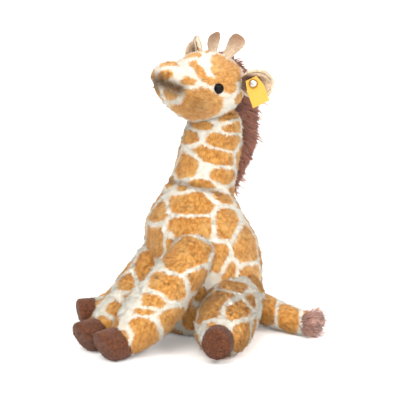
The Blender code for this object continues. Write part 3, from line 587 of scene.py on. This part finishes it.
def strands(name, routes):
    """Loose strands of fur: each route is a list of points, thinning towards its end."""
    curve = bpy.data.curves.new(name, "CURVE")
    curve.dimensions = "3D"
    curve.bevel_depth = STRAND_THICKNESS
    curve.bevel_resolution = 0
    for route in routes:
        spline = curve.splines.new("POLY")
        spline.points.add(len(route) - 1)
        for index, spot in enumerate(route):
            spline.points[index].co = (*spot, 1)
            spline.points[index].radius = 1 - 0.93 * index / (len(route) - 1)
    holder = bpy.data.objects.new(name, curve)
    bpy.context.scene.collection.objects.link(holder)
    graph = bpy.context.evaluated_depsgraph_get()
    mesh = bpy.data.meshes.new_from_object(holder.evaluated_get(graph))
    bpy.data.objects.remove(holder)
    mesh.name = name
    rows = np.array([index / (len(route) - 1) for route in routes for index in range(len(route))])
    share = len(mesh.vertices) // len(rows)
    if len(mesh.vertices) == share * len(rows):
        add_value(mesh, "tip", np.repeat(rows, share))
    mesh.shade_smooth()
    piece = bpy.data.objects.new(name, mesh)
    bpy.context.scene.collection.objects.link(piece)
    return piece


def lock_route(root, out, droop, length, chance, steps=5):
    """One strand's route: out of the skin, then over and down."""
    step = length / (steps - 1)
    heading = (out + Vector(chance.normal(0, 0.22, 3))).normalized()
    route = [root]
    for _ in range(steps - 1):
        heading = (heading + droop * 0.16 + Vector(chance.normal(0, 0.07, 3))).normalized()
        route.append(route[-1] + heading * step)
    return route


# Finishes


def linear(red, green, blue):
    """A colour as it is seen, from 0 to 255, as the nodes want it."""
    parts = []
    for part in (red, green, blue):
        part /= 255
        parts.append(part / 12.92 if part <= 0.04045 else ((part + 0.055) / 1.055) ** 2.4)
    return (*parts, 1.0)


class Finish:
    """A node material of one finish, built step by step."""

    def __init__(self, name, roughness, **values):
        self.material = bpy.data.materials.new(name)
        self.material.use_nodes = True
        self.tree = self.material.node_tree
        self.shader = self.tree.nodes["Principled BSDF"]
        self.shader.inputs["Roughness"].default_value = roughness
        for socket, value in values.items():
            self.shader.inputs[socket.replace("_", " ")].default_value = value
        self.place = self.node("ShaderNodeTexCoord").outputs["Object"]

    def node(self, kind, **settings):
        node = self.tree.nodes.new(kind)
        for name, value in settings.items():
            setattr(node, name, value)
        return node

    def feed(self, socket, source):
        if hasattr(source, "is_output"):
            self.tree.links.new(source, socket)
        elif source is not None:
            socket.default_value = source

    def value(self, name):
        return self.node("ShaderNodeAttribute", attribute_name=name).outputs["Fac"]

    def grain(self, size, detail=2.0, stretch=None):
        """Noise with grains of this size in metres."""
        node = self.node("ShaderNodeTexNoise")
        node.inputs["Scale"].default_value = 1 / size
        node.inputs["Detail"].default_value = detail
        place = self.place
        if stretch:
            mapping = self.node("ShaderNodeMapping")
            mapping.inputs["Scale"].default_value = stretch
            self.feed(mapping.inputs["Vector"], place)
            place = mapping.outputs[0]
        self.feed(node.inputs["Vector"], place)
        return node.outputs["Fac"]

    def math(self, operation, one, two=0.0):
        node = self.node("ShaderNodeMath", operation=operation)
        self.feed(node.inputs[0], one)
        self.feed(node.inputs[1], two)
        return node.outputs[0]

    def span(self, source, low, high, start=0.0, end=1.0):
        """Maps low..high to start..end, smoothly and held at both."""
        node = self.node("ShaderNodeMapRange", interpolation_type="SMOOTHSTEP")
        self.feed(node.inputs[0], source)
        for index, value in enumerate((low, high, start, end), 1):
            node.inputs[index].default_value = value
        return node.outputs[0]

    def mix(self, share, one, two):
        node = self.node("ShaderNodeMix", data_type="RGBA")
        self.feed(node.inputs["Factor"], share)
        self.feed(node.inputs[6], one)
        self.feed(node.inputs[7], two)
        return node.outputs[2]

    def colour(self, source):
        self.feed(self.shader.inputs["Base Color"], source)

    def rough(self, source):
        self.feed(self.shader.inputs["Roughness"], source)

    def bump(self, source, height):
        node = self.node("ShaderNodeBump")
        node.inputs["Distance"].default_value = height
        self.feed(node.inputs["Height"], source)
        self.feed(self.shader.inputs["Normal"], node.outputs[0])


# The deep colours are painted shade at the pile's roots, and the dark side of its random streaks. Olive is
# painted shade, and browner fur round the mouth.
CARAMEL = linear(246, 186, 98)
CARAMEL_DEEP = linear(204, 126, 46)
CARAMEL_LIGHT = linear(252, 206, 130)
CREAM = linear(255, 252, 240)
CREAM_DEEP = linear(255, 243, 222)
OLIVE_FUR_AND_PAINTED_SHADE = linear(128, 90, 44)


def plush_finish():
    """Caramel patches on cream, with painted shade down in the pile, and olive where the value shade says:
    painted shade, and browner fur round the mouth.
    """
    finish = Finish("spotted plush", 0.9, Sheen_Weight=0.22, Sheen_Roughness=0.5)
    tip = finish.value("tip")
    edge = finish.math("ADD", finish.value("patch"), finish.math("MULTIPLY", finish.grain(0.0016), 1.6))
    patch = finish.span(edge, 0.0, 1.7)
    caramel = finish.mix(finish.span(tip, 0.0, 1.0), CARAMEL_DEEP, CARAMEL)
    caramel = finish.mix(finish.span(finish.grain(0.013), 0.45, 0.75, 0.0, 0.55), caramel, CARAMEL_LIGHT)
    cream = finish.mix(finish.span(tip, 0.0, 0.8), CREAM_DEEP, CREAM)
    colour = finish.mix(patch, cream, caramel)
    finish.colour(finish.mix(finish.value("shade"), colour, OLIVE_FUR_AND_PAINTED_SHADE))
    finish.rough(finish.span(finish.grain(0.0009), 0.3, 0.7, 0.82, 0.98))
    finish.bump(finish.grain(0.0005, 1.0), 0.0004)
    return finish.material


def fur_finish(name, roots, tips, size=0.0011):
    """Plain pile of one colour, from dark roots to lighter tips: painted shade down in the pile."""
    finish = Finish(name, 0.85, Sheen_Weight=0.2, Sheen_Roughness=0.45)
    tip = finish.math("ADD", finish.value("tip"), finish.math("MULTIPLY", finish.grain(0.006), 0.5))
    colour = finish.mix(finish.span(tip, 0.15, 1.25), roots, tips)
    finish.colour(finish.mix(finish.span(finish.grain(size), 0.35, 0.7, 0.0, 0.35), colour, tips))
    finish.rough(finish.span(finish.grain(size), 0.3, 0.7, 0.72, 0.95))
    finish.bump(finish.grain(size / 2, 1.0), 0.0003)
    return finish.material


def suede_finish(name, light, dark, marks=0.002):
    """Short-napped cloth, darker where the value tip is high: towards a horn's far end, and as painted shade
    deep in an ear's hollow.
    """
    finish = Finish(name, 0.88, Sheen_Weight=0.3, Sheen_Roughness=0.4)
    tip = finish.math("ADD", finish.value("tip"), finish.math("MULTIPLY", finish.grain(0.004), 0.35))
    colour = finish.mix(finish.span(tip, 0.2, 1.1), light, dark)
    finish.colour(finish.mix(finish.span(finish.grain(marks, 4.0), 0.4, 0.75, 0.0, 0.4), colour, dark))
    finish.rough(finish.span(finish.grain(0.001), 0.3, 0.7, 0.78, 0.95))
    finish.bump(finish.grain(0.0005, 3.0), 0.00025)
    return finish.material


def ribbon_finish():
    """Woven ribbon: fine threads, drawn out along one way."""
    finish = Finish("yellow ribbon", 0.6, Sheen_Weight=0.15)
    weave = finish.grain(0.0004, 1.0, (1.0, 0.25, 1.0))
    finish.colour(finish.mix(finish.span(weave, 0.35, 0.65), linear(206, 148, 44), linear(232, 182, 72)))
    finish.rough(finish.span(weave, 0.3, 0.7, 0.5, 0.72))
    finish.bump(weave, 0.00015)
    return finish.material


def metal_finish(name, colour, worn, roughness):
    finish = Finish(name, roughness, Metallic=1.0)
    finish.colour(finish.mix(finish.span(finish.grain(0.0012), 0.45, 0.7, 0.0, 0.4), colour, worn))
    finish.rough(finish.span(finish.grain(0.0006, 3.0), 0.3, 0.7, roughness - 0.06, roughness + 0.1))
    finish.bump(finish.grain(0.0005), 0.00002)
    return finish.material


def eye_finish():
    finish = Finish("glossy eye", 0.06, Specular_IOR_Level=0.15)
    finish.colour(finish.mix(finish.grain(0.002), linear(4, 3, 3), linear(12, 8, 6)))
    finish.rough(finish.span(finish.grain(0.0012), 0.3, 0.7, 0.04, 0.09))
    return finish.material


def plastic_finish():
    finish = Finish("milky washer", 0.4)
    finish.colour(finish.mix(finish.grain(0.002), linear(226, 226, 220), linear(240, 240, 236)))
    finish.rough(finish.span(finish.grain(0.001), 0.3, 0.7, 0.35, 0.5))
    return finish.material


def thread_finish():
    finish = Finish("brown thread", 0.7, Sheen_Weight=0.2)
    finish.colour(finish.mix(finish.grain(0.0007), linear(38, 26, 16), linear(84, 60, 36)))
    finish.rough(finish.span(finish.grain(0.0006), 0.3, 0.7, 0.6, 0.8))
    finish.bump(finish.grain(0.0004), 0.0002)
    return finish.material


def dress(piece, material, body, nodes=()):
    """Gives a piece its finish, the body that it rides on and the nodes that it stands for."""
    piece.data.materials.clear()
    piece.data.materials.append(material)
    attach(piece, body)
    if nodes:
        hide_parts(*nodes)
    return piece


# Small pieces


def axis_of(node):
    """The foot, the way out and the middle of a turned CAD node that points away from the head's middle."""
    points = np.unique(np.round(coordinates(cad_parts[node].data), 6), axis=0)
    order = np.argsort(np.abs(points[:, 0]))
    low, high = points[order[:10]].mean(axis=0), points[order[-10:]].mean(axis=0)
    out = Vector(high - low).normalized()
    return Vector(low), out, Vector(high)


def make_eye(name, material):
    """A domed eye, turned smooth, low on its rim."""
    _, out, top = axis_of(name)
    body = bmesh.new()
    bmesh.ops.create_uvsphere(body, u_segments=40, v_segments=24, radius=1.0)
    side = out.orthogonal().normalized()
    turn = Matrix((side * EYE_RADIUS, out.cross(side) * EYE_RADIUS, out * EYE_RISE)).transposed().to_4x4()
    turn.translation = top - out * EYE_SUNK
    bmesh.ops.transform(body, matrix=turn, verts=body.verts)
    bmesh.ops.recalc_face_normals(body, faces=body.faces)
    return dress(add_piece(f"{name}_dome", body), material, "head", [name])


def make_horn(name, material):
    """A flat suede paddle, darker towards its far end."""
    piece = from_nodes(f"{name}_paddle", [name])
    remesh(piece, HORN_CELL)
    relax(piece, 3)
    grow(piece, 0.0002)
    subdivide(piece)
    points = coordinates(piece.data)
    height = (points[:, 2] - points[:, 2].min()) / np.ptp(points[:, 2])
    add_value(piece.data, "tip", height**1.3)
    return dress(piece, material, "head", [name])


EAR_WIDTHS = ((0.0, 0.46), (0.15, 0.78), (0.35, 0.97), (0.55, 1.0), (0.75, 0.91), (0.90, 0.70), (1.0, 0.30))
EAR_START = 0.0022
EAR_HALF_WIDTH = 13.5 * MM


class Ear:
    """The leaf of an ear: its root on the head, the way along it, and the way out of its hollow."""

    def __init__(self, root, axis, face, curl, length):
        self.root = place(*root)
        self.length = length * MM
        self.axis = Vector(axis).normalized()
        face = Vector(face)
        self.face = (face - self.axis * face.dot(self.axis)).normalized()
        self.across = self.axis.cross(self.face)
        self.curl = math.radians(curl)

    def spot(self, share, aside, level, trim, roll=0.0):
        """A point of the leaf: along it, across it from -1 to 1, and how far out of its hollow."""
        shares, widths = zip(*EAR_WIDTHS)
        half = EAR_HALF_WIDTH * float(np.interp(share, shares, widths)) - trim
        curl = self.curl * min(1.0, 0.45 + share / 0.6)
        radius = half / curl
        rim = max(abs(aside), share if share > 0.5 else 0.0)
        reach = radius - level - roll * max(0.0, min(1.0, (rim - 0.62) / 0.2)) * (1.2 - rim)
        angle = curl * aside
        foot = self.root + self.axis * (EAR_START + (self.length - EAR_START - trim) * share)
        rise = self.face * (radius - reach * math.cos(angle))
        return foot + self.across * (reach * math.sin(angle)) + rise

    def layer(self, name, level, trim, thickness, roll=0.0, steps=26):
        """One closed layer of the leaf, with rounded rims."""
        body = bmesh.new()
        bmesh.ops.create_grid(body, x_segments=steps, y_segments=steps, size=1.0)
        for vert in body.verts:
            vert.co = self.spot((vert.co.y + 1) / 2, vert.co.x, level, trim, roll)
        bmesh.ops.recalc_face_normals(body, faces=body.faces)
        if sum((face.normal.dot(self.face) for face in body.faces)) < 0:
            bmesh.ops.reverse_faces(body, faces=body.faces)
        piece = add_piece(name, body)
        wall = piece.modifiers.new("thickness", "SOLIDIFY")
        wall.thickness = thickness
        wall.offset = 0
        apply(piece)
        return piece


LEFT_EAR = Ear((26.7, 16.6, 225.2), (0.83, 0.55, -0.05), (0.50, -0.80, 0.20), 52, 30)
RIGHT_EAR = Ear((-20.8, 13.4, 240.4), (-0.55, 0.32, 0.77), (-0.25, -0.95, 0.10), 50, 24)


def make_ear(side, ear, beige, lining):
    """An ear of a plush back and a velvet lining, with painted shade deep in its hollow."""
    back = ear.layer(f"ear_{side}_plush", -0.0008, 0, 0.0016)
    remesh(back, EAR_CELL)
    relax(back, 2)
    raise_pile(back, 0.0022, [ear.root, ear.root + ear.axis * (30 * MM)], 31)
    dress(back, beige, f"ear_{side}", [f"ear_{side}_back"])
    front = ear.layer(f"ear_{side}_velvet", 0.0009, 0.0009, 0.0016, 0.0042)
    subdivide(front)
    # Painted shade: the lining darkens towards its root and the middle of its hollow
    away = (coordinates(front.data) - np.array(ear.root)) @ np.array(ear.axis) / ear.length
    aside = np.abs((coordinates(front.data) - np.array(ear.root)) @ np.array(ear.across)) / EAR_HALF_WIDTH
    hollow = np.clip(1.25 - away * 1.15, 0, 1) * np.clip(1.3 - aside * 1.4, 0, 1)
    add_value(front.data, "tip", hollow * 1.3)
    dress(front, lining, f"ear_{side}", [f"ear_{side}_lining"])


def on_skin(tree, x, y, out=0.0):
    """The point of a skin that a pixel of the photograph shows, raised off it."""
    start, ray = sight(x, y)
    spot, normal, _, _ = tree.ray_cast(start, ray)
    return spot + normal * out if spot else None


# The mouth runs from the front of the muzzle back along both sides
MOUTH_SEEN = ((158.5, 80.2), (162, 81.6), (166, 83.6), (171, 85.6), (175, 87.2), (179, 88.6))


def make_mouth(tree, material):
    """A stitched line in the crease of the mouth."""
    near = [on_skin(tree, x, y, 0.0013) for x, y in MOUTH_SEEN]
    near = [spot for spot in near if spot]
    far = [Vector((-spot.x, spot.y, spot.z)) for spot in near]
    curve = bpy.data.curves.new("mouth_thread", "CURVE")
    curve.dimensions = "3D"
    curve.bevel_depth = 0.0009
    curve.bevel_resolution = 2
    curve.use_fill_caps = True
    spline = curve.splines.new("POLY")
    route = far[::-1] + near
    spline.points.add(len(route) - 1)
    for index, spot in enumerate(route):
        inner = min(index, len(route) - 1 - index)
        spline.points[index].co = (*spot, 1)
        spline.points[index].radius = 0.45 + 0.75 * math.sin(math.pi * inner / len(near)) ** 2
    holder = bpy.data.objects.new("mouth_line", curve)
    bpy.context.scene.collection.objects.link(holder)
    graph = bpy.context.evaluated_depsgraph_get()
    mesh = bpy.data.meshes.new_from_object(holder.evaluated_get(graph))
    bpy.data.objects.remove(holder)
    piece = bpy.data.objects.new("mouth_thread", mesh)
    bpy.context.scene.collection.objects.link(piece)
    return dress(piece, material, "head")


# Building the toy

plush = plush_finish()
hoof_pile = fur_finish("brown hoof pile", linear(58, 26, 12), linear(134, 76, 42))
mane_fur = fur_finish("brown mane fur", linear(50, 22, 18), linear(170, 110, 88))
tuft_fur = fur_finish("brown tuft fur", linear(92, 54, 46), linear(220, 176, 160))
beige_pile = fur_finish("beige ear pile", linear(206, 170, 128), linear(250, 234, 208))
suede = suede_finish("horn suede", linear(206, 182, 154), linear(138, 104, 78))
# The velvet's dark colour is painted shade deep in the ear's hollow, and its random marks
velvet = suede_finish("ear velvet", linear(210, 182, 150), linear(92, 62, 44))
eye_gloss = eye_finish()
thread = thread_finish()

skins = {"trunk": trunk_skin(), "head": head_skin()}
for name in LIMBS:
    skins[name] = limb_skin(name)
bare_head = tree_of(skins["head"])
mouth_press = []
for x, y in MOUTH_SEEN[1:]:
    spot, inward = on_skin(bare_head, x, y), on_skin(bare_head, x, y, -1.5 * MM)
    for hand in (1, -1):
        mirrored = Vector((hand * spot.x, spot.y, spot.z))
        mouth_press.append((mirrored, 5 * MM, Vector((hand, 1, 1)) * (inward - spot)))
for name, skin in skins.items():
    finish_skin(skin, mouth_press if name == "head" else ())

trees = {name: tree_of(skin) for name, skin in skins.items()}
known = {name: seen_patches(table, [trees[name]]) for name, table in PATCHES_ON.items()}
known["trunk"] = known["head"] = seen_patches(PATCHES_SEEN, [trees["trunk"], trees["head"]])

NAPS = {
    "trunk": [place(0, 12, 200), place(0, 0, 150), place(0, -12, 118), place(0, -6, 60), place(0, -4, -20)],
    "head": [place(0, -60, 236), place(0, -20, 228), place(0, 20, 222), place(0, 60, 200)],
}
for name, (root, end) in LIMBS.items():
    NAPS[name] = [root, root.lerp(end, 0.5), end, end + (end - root)]

mouth_tree = trees["head"]
mouth = [on_skin(mouth_tree, x, y) for x, y in MOUTH_SEEN]
mouth = [spot for spot in mouth if spot]
mouth += [Vector((-spot.x, spot.y, spot.z)) for spot in mouth]


def add_shade(skin, name):
    """Marks olive painted shade in the crease at the neck's foot, on the cheek and on the near thigh's inner
    side; round the mouth, browner fur and painted shade in its crease.
    """
    points = coordinates(skin.data)
    shade = np.zeros(len(points))
    if name == "head":
        # Round the mouth: browner fur, with painted shade in its crease
        away = np.min([np.linalg.norm(points - np.array(spot), axis=1) for spot in mouth], axis=0)
        shade = np.clip(1.3 - away / (9 * MM), 0, 1) ** 1.3
        # Painted shade on the cheek
        away = np.linalg.norm(points - np.array(on_skin(trees[name], 199, 104)), axis=1)
        shade = np.maximum(shade, np.clip(1.2 - away / (18 * MM), 0, 1) * 0.4)
    if name == "trunk":
        # Painted shade in the crease of the neck's seam, on its front
        depth = np.abs((points - np.array(NECK_SEAM)) @ np.array(NECK_AXIS)) / (4.5 * MM)
        ahead = np.clip(-(points[:, 1] + 0.002) / 0.02, 0, 1)
        shade = np.clip(1 - depth, 0, 1) * 0.75 * ahead
    if name == "hindleg_left":
        # Painted shade on the near thigh's inner side
        away = np.linalg.norm(points - np.array(on_skin(trees[name], 210, 299)), axis=1)
        shade = np.clip(1.1 - away / (17 * MM), 0, 1) * 0.5
    add_value(skin.data, "shade", shade)


for seed, (name, skin) in enumerate(skins.items()):
    points, normals = coordinates(skin.data), normals_of(skin.data)
    kind = name.split("_")[0]
    patches = known[name] + hidden_patches(points, normals, known[name], HIDDEN_REACH[kind] * MM, 11 + seed)
    raise_pile(skin, PILE_LENGTH, NAPS[name], 50 + seed, patches=patches)
    add_shade(skin, name)
    skin.data.materials.append(plush)

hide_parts("torso_cover", "torso_filling", "neck_cover", "neck_filling")
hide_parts("head_cover", "head_filling")
for name in LIMBS:
    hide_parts(f"{name}_cover", f"{name}_filling")
    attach(skins[name], name)
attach(skins["head"], "head")
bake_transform(skins["trunk"])


def make_hoof(name, material):
    """The hoof of a leg, with shorter pile."""
    hoof = from_nodes(f"{name}_hoof_pile", [f"{name}_hoof"], hull=True)
    remesh(hoof, HOOF_CELL)
    relax(hoof, 2)
    grow(hoof, -0.0003)
    subdivide(hoof)
    root, end = LIMBS[name]
    raise_pile(hoof, 0.0016, [root, end, end + (end - root)], 71, lean=0.5, lock=0.002)
    dress(hoof, material, name, [f"{name}_hoof"])


for name in LIMBS:
    if name != "tail":
        make_hoof(name, hoof_pile)

# Mane: height along the back, place behind, and length of the fur, in millimetres
MANE_ROUTE = (
    (118, 22.5, 16), (126, 23.5, 22), (134, 26.0, 24), (144, 29.0, 25), (155, 32.0, 27), (166, 34.0, 31),
    (178, 35.5, 36), (190, 36.0, 38), (203, 36.5, 37), (216, 37.0, 33), (226, 36.5, 27), (235, 33.0, 18),
    (243, 27.5, 11), (249, 20.0, 8),
)
MANE_STRANDS = 1500
TUFT_STRANDS = 520
TUFT_RUN = Vector((1, 0.03, 0.24)).normalized()


def fur_core(name, node, inward, route, seed, lean):
    """The body of long fur under its loose strands."""
    core = from_nodes(name, [node])
    remesh(core, FUR_CELL)
    relax(core, 2)
    grow(core, -inward)
    return raise_pile(core, 0.005, route, seed, lean=lean)


def make_mane(chance):
    """Tousled fur along the back of neck and head, longer in the middle, in clumps."""
    heights, backs, lengths = (np.array(column, float) for column in zip(*MANE_ROUTE))
    stretch = np.concatenate([[0], np.cumsum(np.hypot(np.diff(heights), np.diff(backs)))])
    routes = []
    for _ in range(MANE_STRANDS):
        run = chance.uniform(0, stretch[-1])
        high, back = np.interp(run, stretch, heights), np.interp(run, stretch, backs)
        further = np.interp(run + 2, stretch, backs) - np.interp(run - 2, stretch, backs)
        higher = np.interp(run + 2, stretch, heights) - np.interp(run - 2, stretch, heights)
        out = Vector((chance.normal(0, 0.18), higher, -further)).normalized()
        clump = noise.noise(Vector((run / 5, 0, 3)))
        length = np.interp(run, stretch, lengths) * (0.90 + 0.85 * clump + chance.uniform(-0.26, 0.14)) * MM
        root = place(chance.uniform(-5.0, 5.0), back - 2.0, high)
        swing = Vector((noise.noise(Vector((run / 4, 5, 1))) * 0.5, 0, clump * 0.4 - 0.25))
        routes.append(lock_route(root, (out + swing).normalized(), -UP * 0.9, length, chance))
    mane = strands("mane_fur", routes)
    nap = [place(0, 20, 249), place(0, 40, 200), place(0, 30, 130)]
    mane_core = fur_core("mane_core", "mane", 0.0040, nap, 8, 0.6)
    for piece in (mane, mane_core):
        piece.data.materials.append(mane_fur)
        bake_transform(piece)
    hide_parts("mane")


def make_tuft(chance):
    """The brush of fur at the tail's end."""
    root, end = LIMBS["tail"]
    routes = []
    for _ in range(TUFT_STRANDS):
        turn = chance.uniform(0, math.tau)
        spread = math.sqrt(chance.uniform(0, 1)) * 8.8 * MM
        aside = Vector((0, math.cos(turn), math.sin(turn)))
        start = end + TUFT_RUN * (chance.uniform(-2, 2) * MM) + aside * spread
        heading = (TUFT_RUN + aside * (0.1 + spread * 26)).normalized()
        clump = noise.noise(aside * 2.2 + Vector((4, 0, 0)))
        length = (chance.uniform(13, 19) + 9 * clump) * MM
        routes.append(lock_route(start, heading, UP * 0.1, length, chance))
    for route in routes:
        for spot in route:
            spot.z = max(spot.z, STRAND_CLEAR)
    tuft = strands("tail_fur", routes)
    tuft_core = fur_core("tail_tuft_core", "tail_tuft", 0.0038, [root, end, end + TUFT_RUN * 0.05], 9, 0.8)
    for piece in (tuft, tuft_core):
        dress(piece, tuft_fur, "tail")
    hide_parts("tail_tuft")


chance = np.random.default_rng(5)
make_mane(chance)
make_tuft(chance)
make_ear("left", LEFT_EAR, beige_pile, velvet)
make_ear("right", RIGHT_EAR, beige_pile, velvet)
for side in ("left", "right"):
    make_eye(f"eye_{side}", eye_gloss)
    make_horn(f"horn_{side}", suede)
make_mouth(mouth_tree, thread)

# CAD nodes that stay: the bare ribbon tag, the snap that holds it, and the washers inside
KEPT = {
    "ear_tag": ribbon_finish(),
    "ear_rivet": metal_finish("brass", linear(190, 140, 62), linear(120, 84, 36), 0.28),
    "rivet_dome": metal_finish("bright nickel", linear(205, 203, 196), linear(150, 148, 140), 0.22),
    "rivet_back": metal_finish("brass back", linear(186, 138, 66), linear(122, 88, 40), 0.34),
    "eye_left_washer": plastic_finish(),
    "eye_right_washer": plastic_finish(),
}
for node, material in KEPT.items():
    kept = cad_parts[node]
    for index in range(max(1, len(kept.material_slots))):
        if kept.material_slots:
            kept.material_slots[index].material = material
        else:
            kept.data.materials.append(material)

# Stage, light and camera


def make_floor():
    """A pale floor that keeps the toy's shadow."""
    body = bmesh.new()
    bmesh.ops.create_circle(body, cap_ends=True, segments=96, radius=14)
    floor = add_piece("floor", body, smooth=False)
    finish = Finish("pale floor", 0.95)
    finish.colour(finish.mix(finish.grain(0.4), linear(243, 243, 243), linear(246, 246, 246)))
    lit = finish.node("ShaderNodeLightPath")
    seen = finish.math("MAXIMUM", lit.outputs["Is Camera Ray"], lit.outputs["Is Glossy Ray"])
    seen = finish.math("MAXIMUM", seen, lit.outputs["Is Transmission Ray"])
    finish.shader.inputs["Emission Color"].default_value = (1, 1, 1, 1)
    finish.feed(finish.shader.inputs["Emission Strength"], finish.math("MULTIPLY", seen, 0.16))
    finish.shader.inputs["Specular IOR Level"].default_value = 0.0
    floor.data.materials.append(finish.material)


def make_sky():
    """Warm light from all round, and plain white where the camera sees the background."""
    world = bpy.data.worlds.new("studio")
    bpy.context.scene.world = world
    world.use_nodes = True
    tree = world.node_tree
    sky = tree.nodes["Background"]
    sky.inputs["Color"].default_value = (1.0, 0.975, 0.935, 1)
    sky.inputs["Strength"].default_value = 0.95
    white = tree.nodes.new("ShaderNodeBackground")
    white.inputs["Color"].default_value = (1, 1, 1, 1)
    white.inputs["Strength"].default_value = 1.0
    path = tree.nodes.new("ShaderNodeLightPath")
    either = tree.nodes.new("ShaderNodeMath")
    either.operation = "MAXIMUM"
    tree.links.new(path.outputs["Is Camera Ray"], either.inputs[0])
    tree.links.new(path.outputs["Is Transmission Ray"], either.inputs[1])
    choice = tree.nodes.new("ShaderNodeMixShader")
    tree.links.new(either.outputs[0], choice.inputs[0])
    tree.links.new(sky.outputs[0], choice.inputs[1])
    tree.links.new(white.outputs[0], choice.inputs[2])
    tree.links.new(choice.outputs[0], tree.nodes["World Output"].inputs["Surface"])


def add_lamp(name, kind, energy, towards, **values):
    light = bpy.data.lights.new(name, kind)
    light.energy = energy
    for key, value in values.items():
        setattr(light, key, value)
    lamp = bpy.data.objects.new(name, light)
    lamp.location = TARGET - towards * 2
    lamp.rotation_euler = towards.to_track_quat("-Z", "Y").to_euler()
    bpy.context.scene.collection.objects.link(lamp)


make_floor()
make_sky()
key_way = (ACROSS * 0.35 - UP * 0.9 - BACK * 0.75).normalized()
fill_way = (-ACROSS * 0.35 - UP * 0.15 - BACK).normalized()
glint_way = Vector((-0.734, -0.198, -0.646))
add_lamp("soft key", "SUN", 1.8, key_way, angle=math.radians(40))
add_lamp("front fill", "SUN", 1.1, fill_way, angle=math.radians(60))
add_lamp("glint", "SUN", 1.0, glint_way, angle=math.radians(12))

camera_data = bpy.data.cameras.new("camera")
camera_data.lens = LENS
camera_data.sensor_width = SENSOR
camera_data.clip_end = 60
camera = bpy.data.objects.new("camera", camera_data)
camera.location = TARGET + BACK * DISTANCE
camera.rotation_euler = (-BACK).to_track_quat("-Z", "Y").to_euler()
bpy.context.scene.collection.objects.link(camera)
bpy.context.scene.camera = camera
bpy.context.scene.view_settings.view_transform = "Standard"
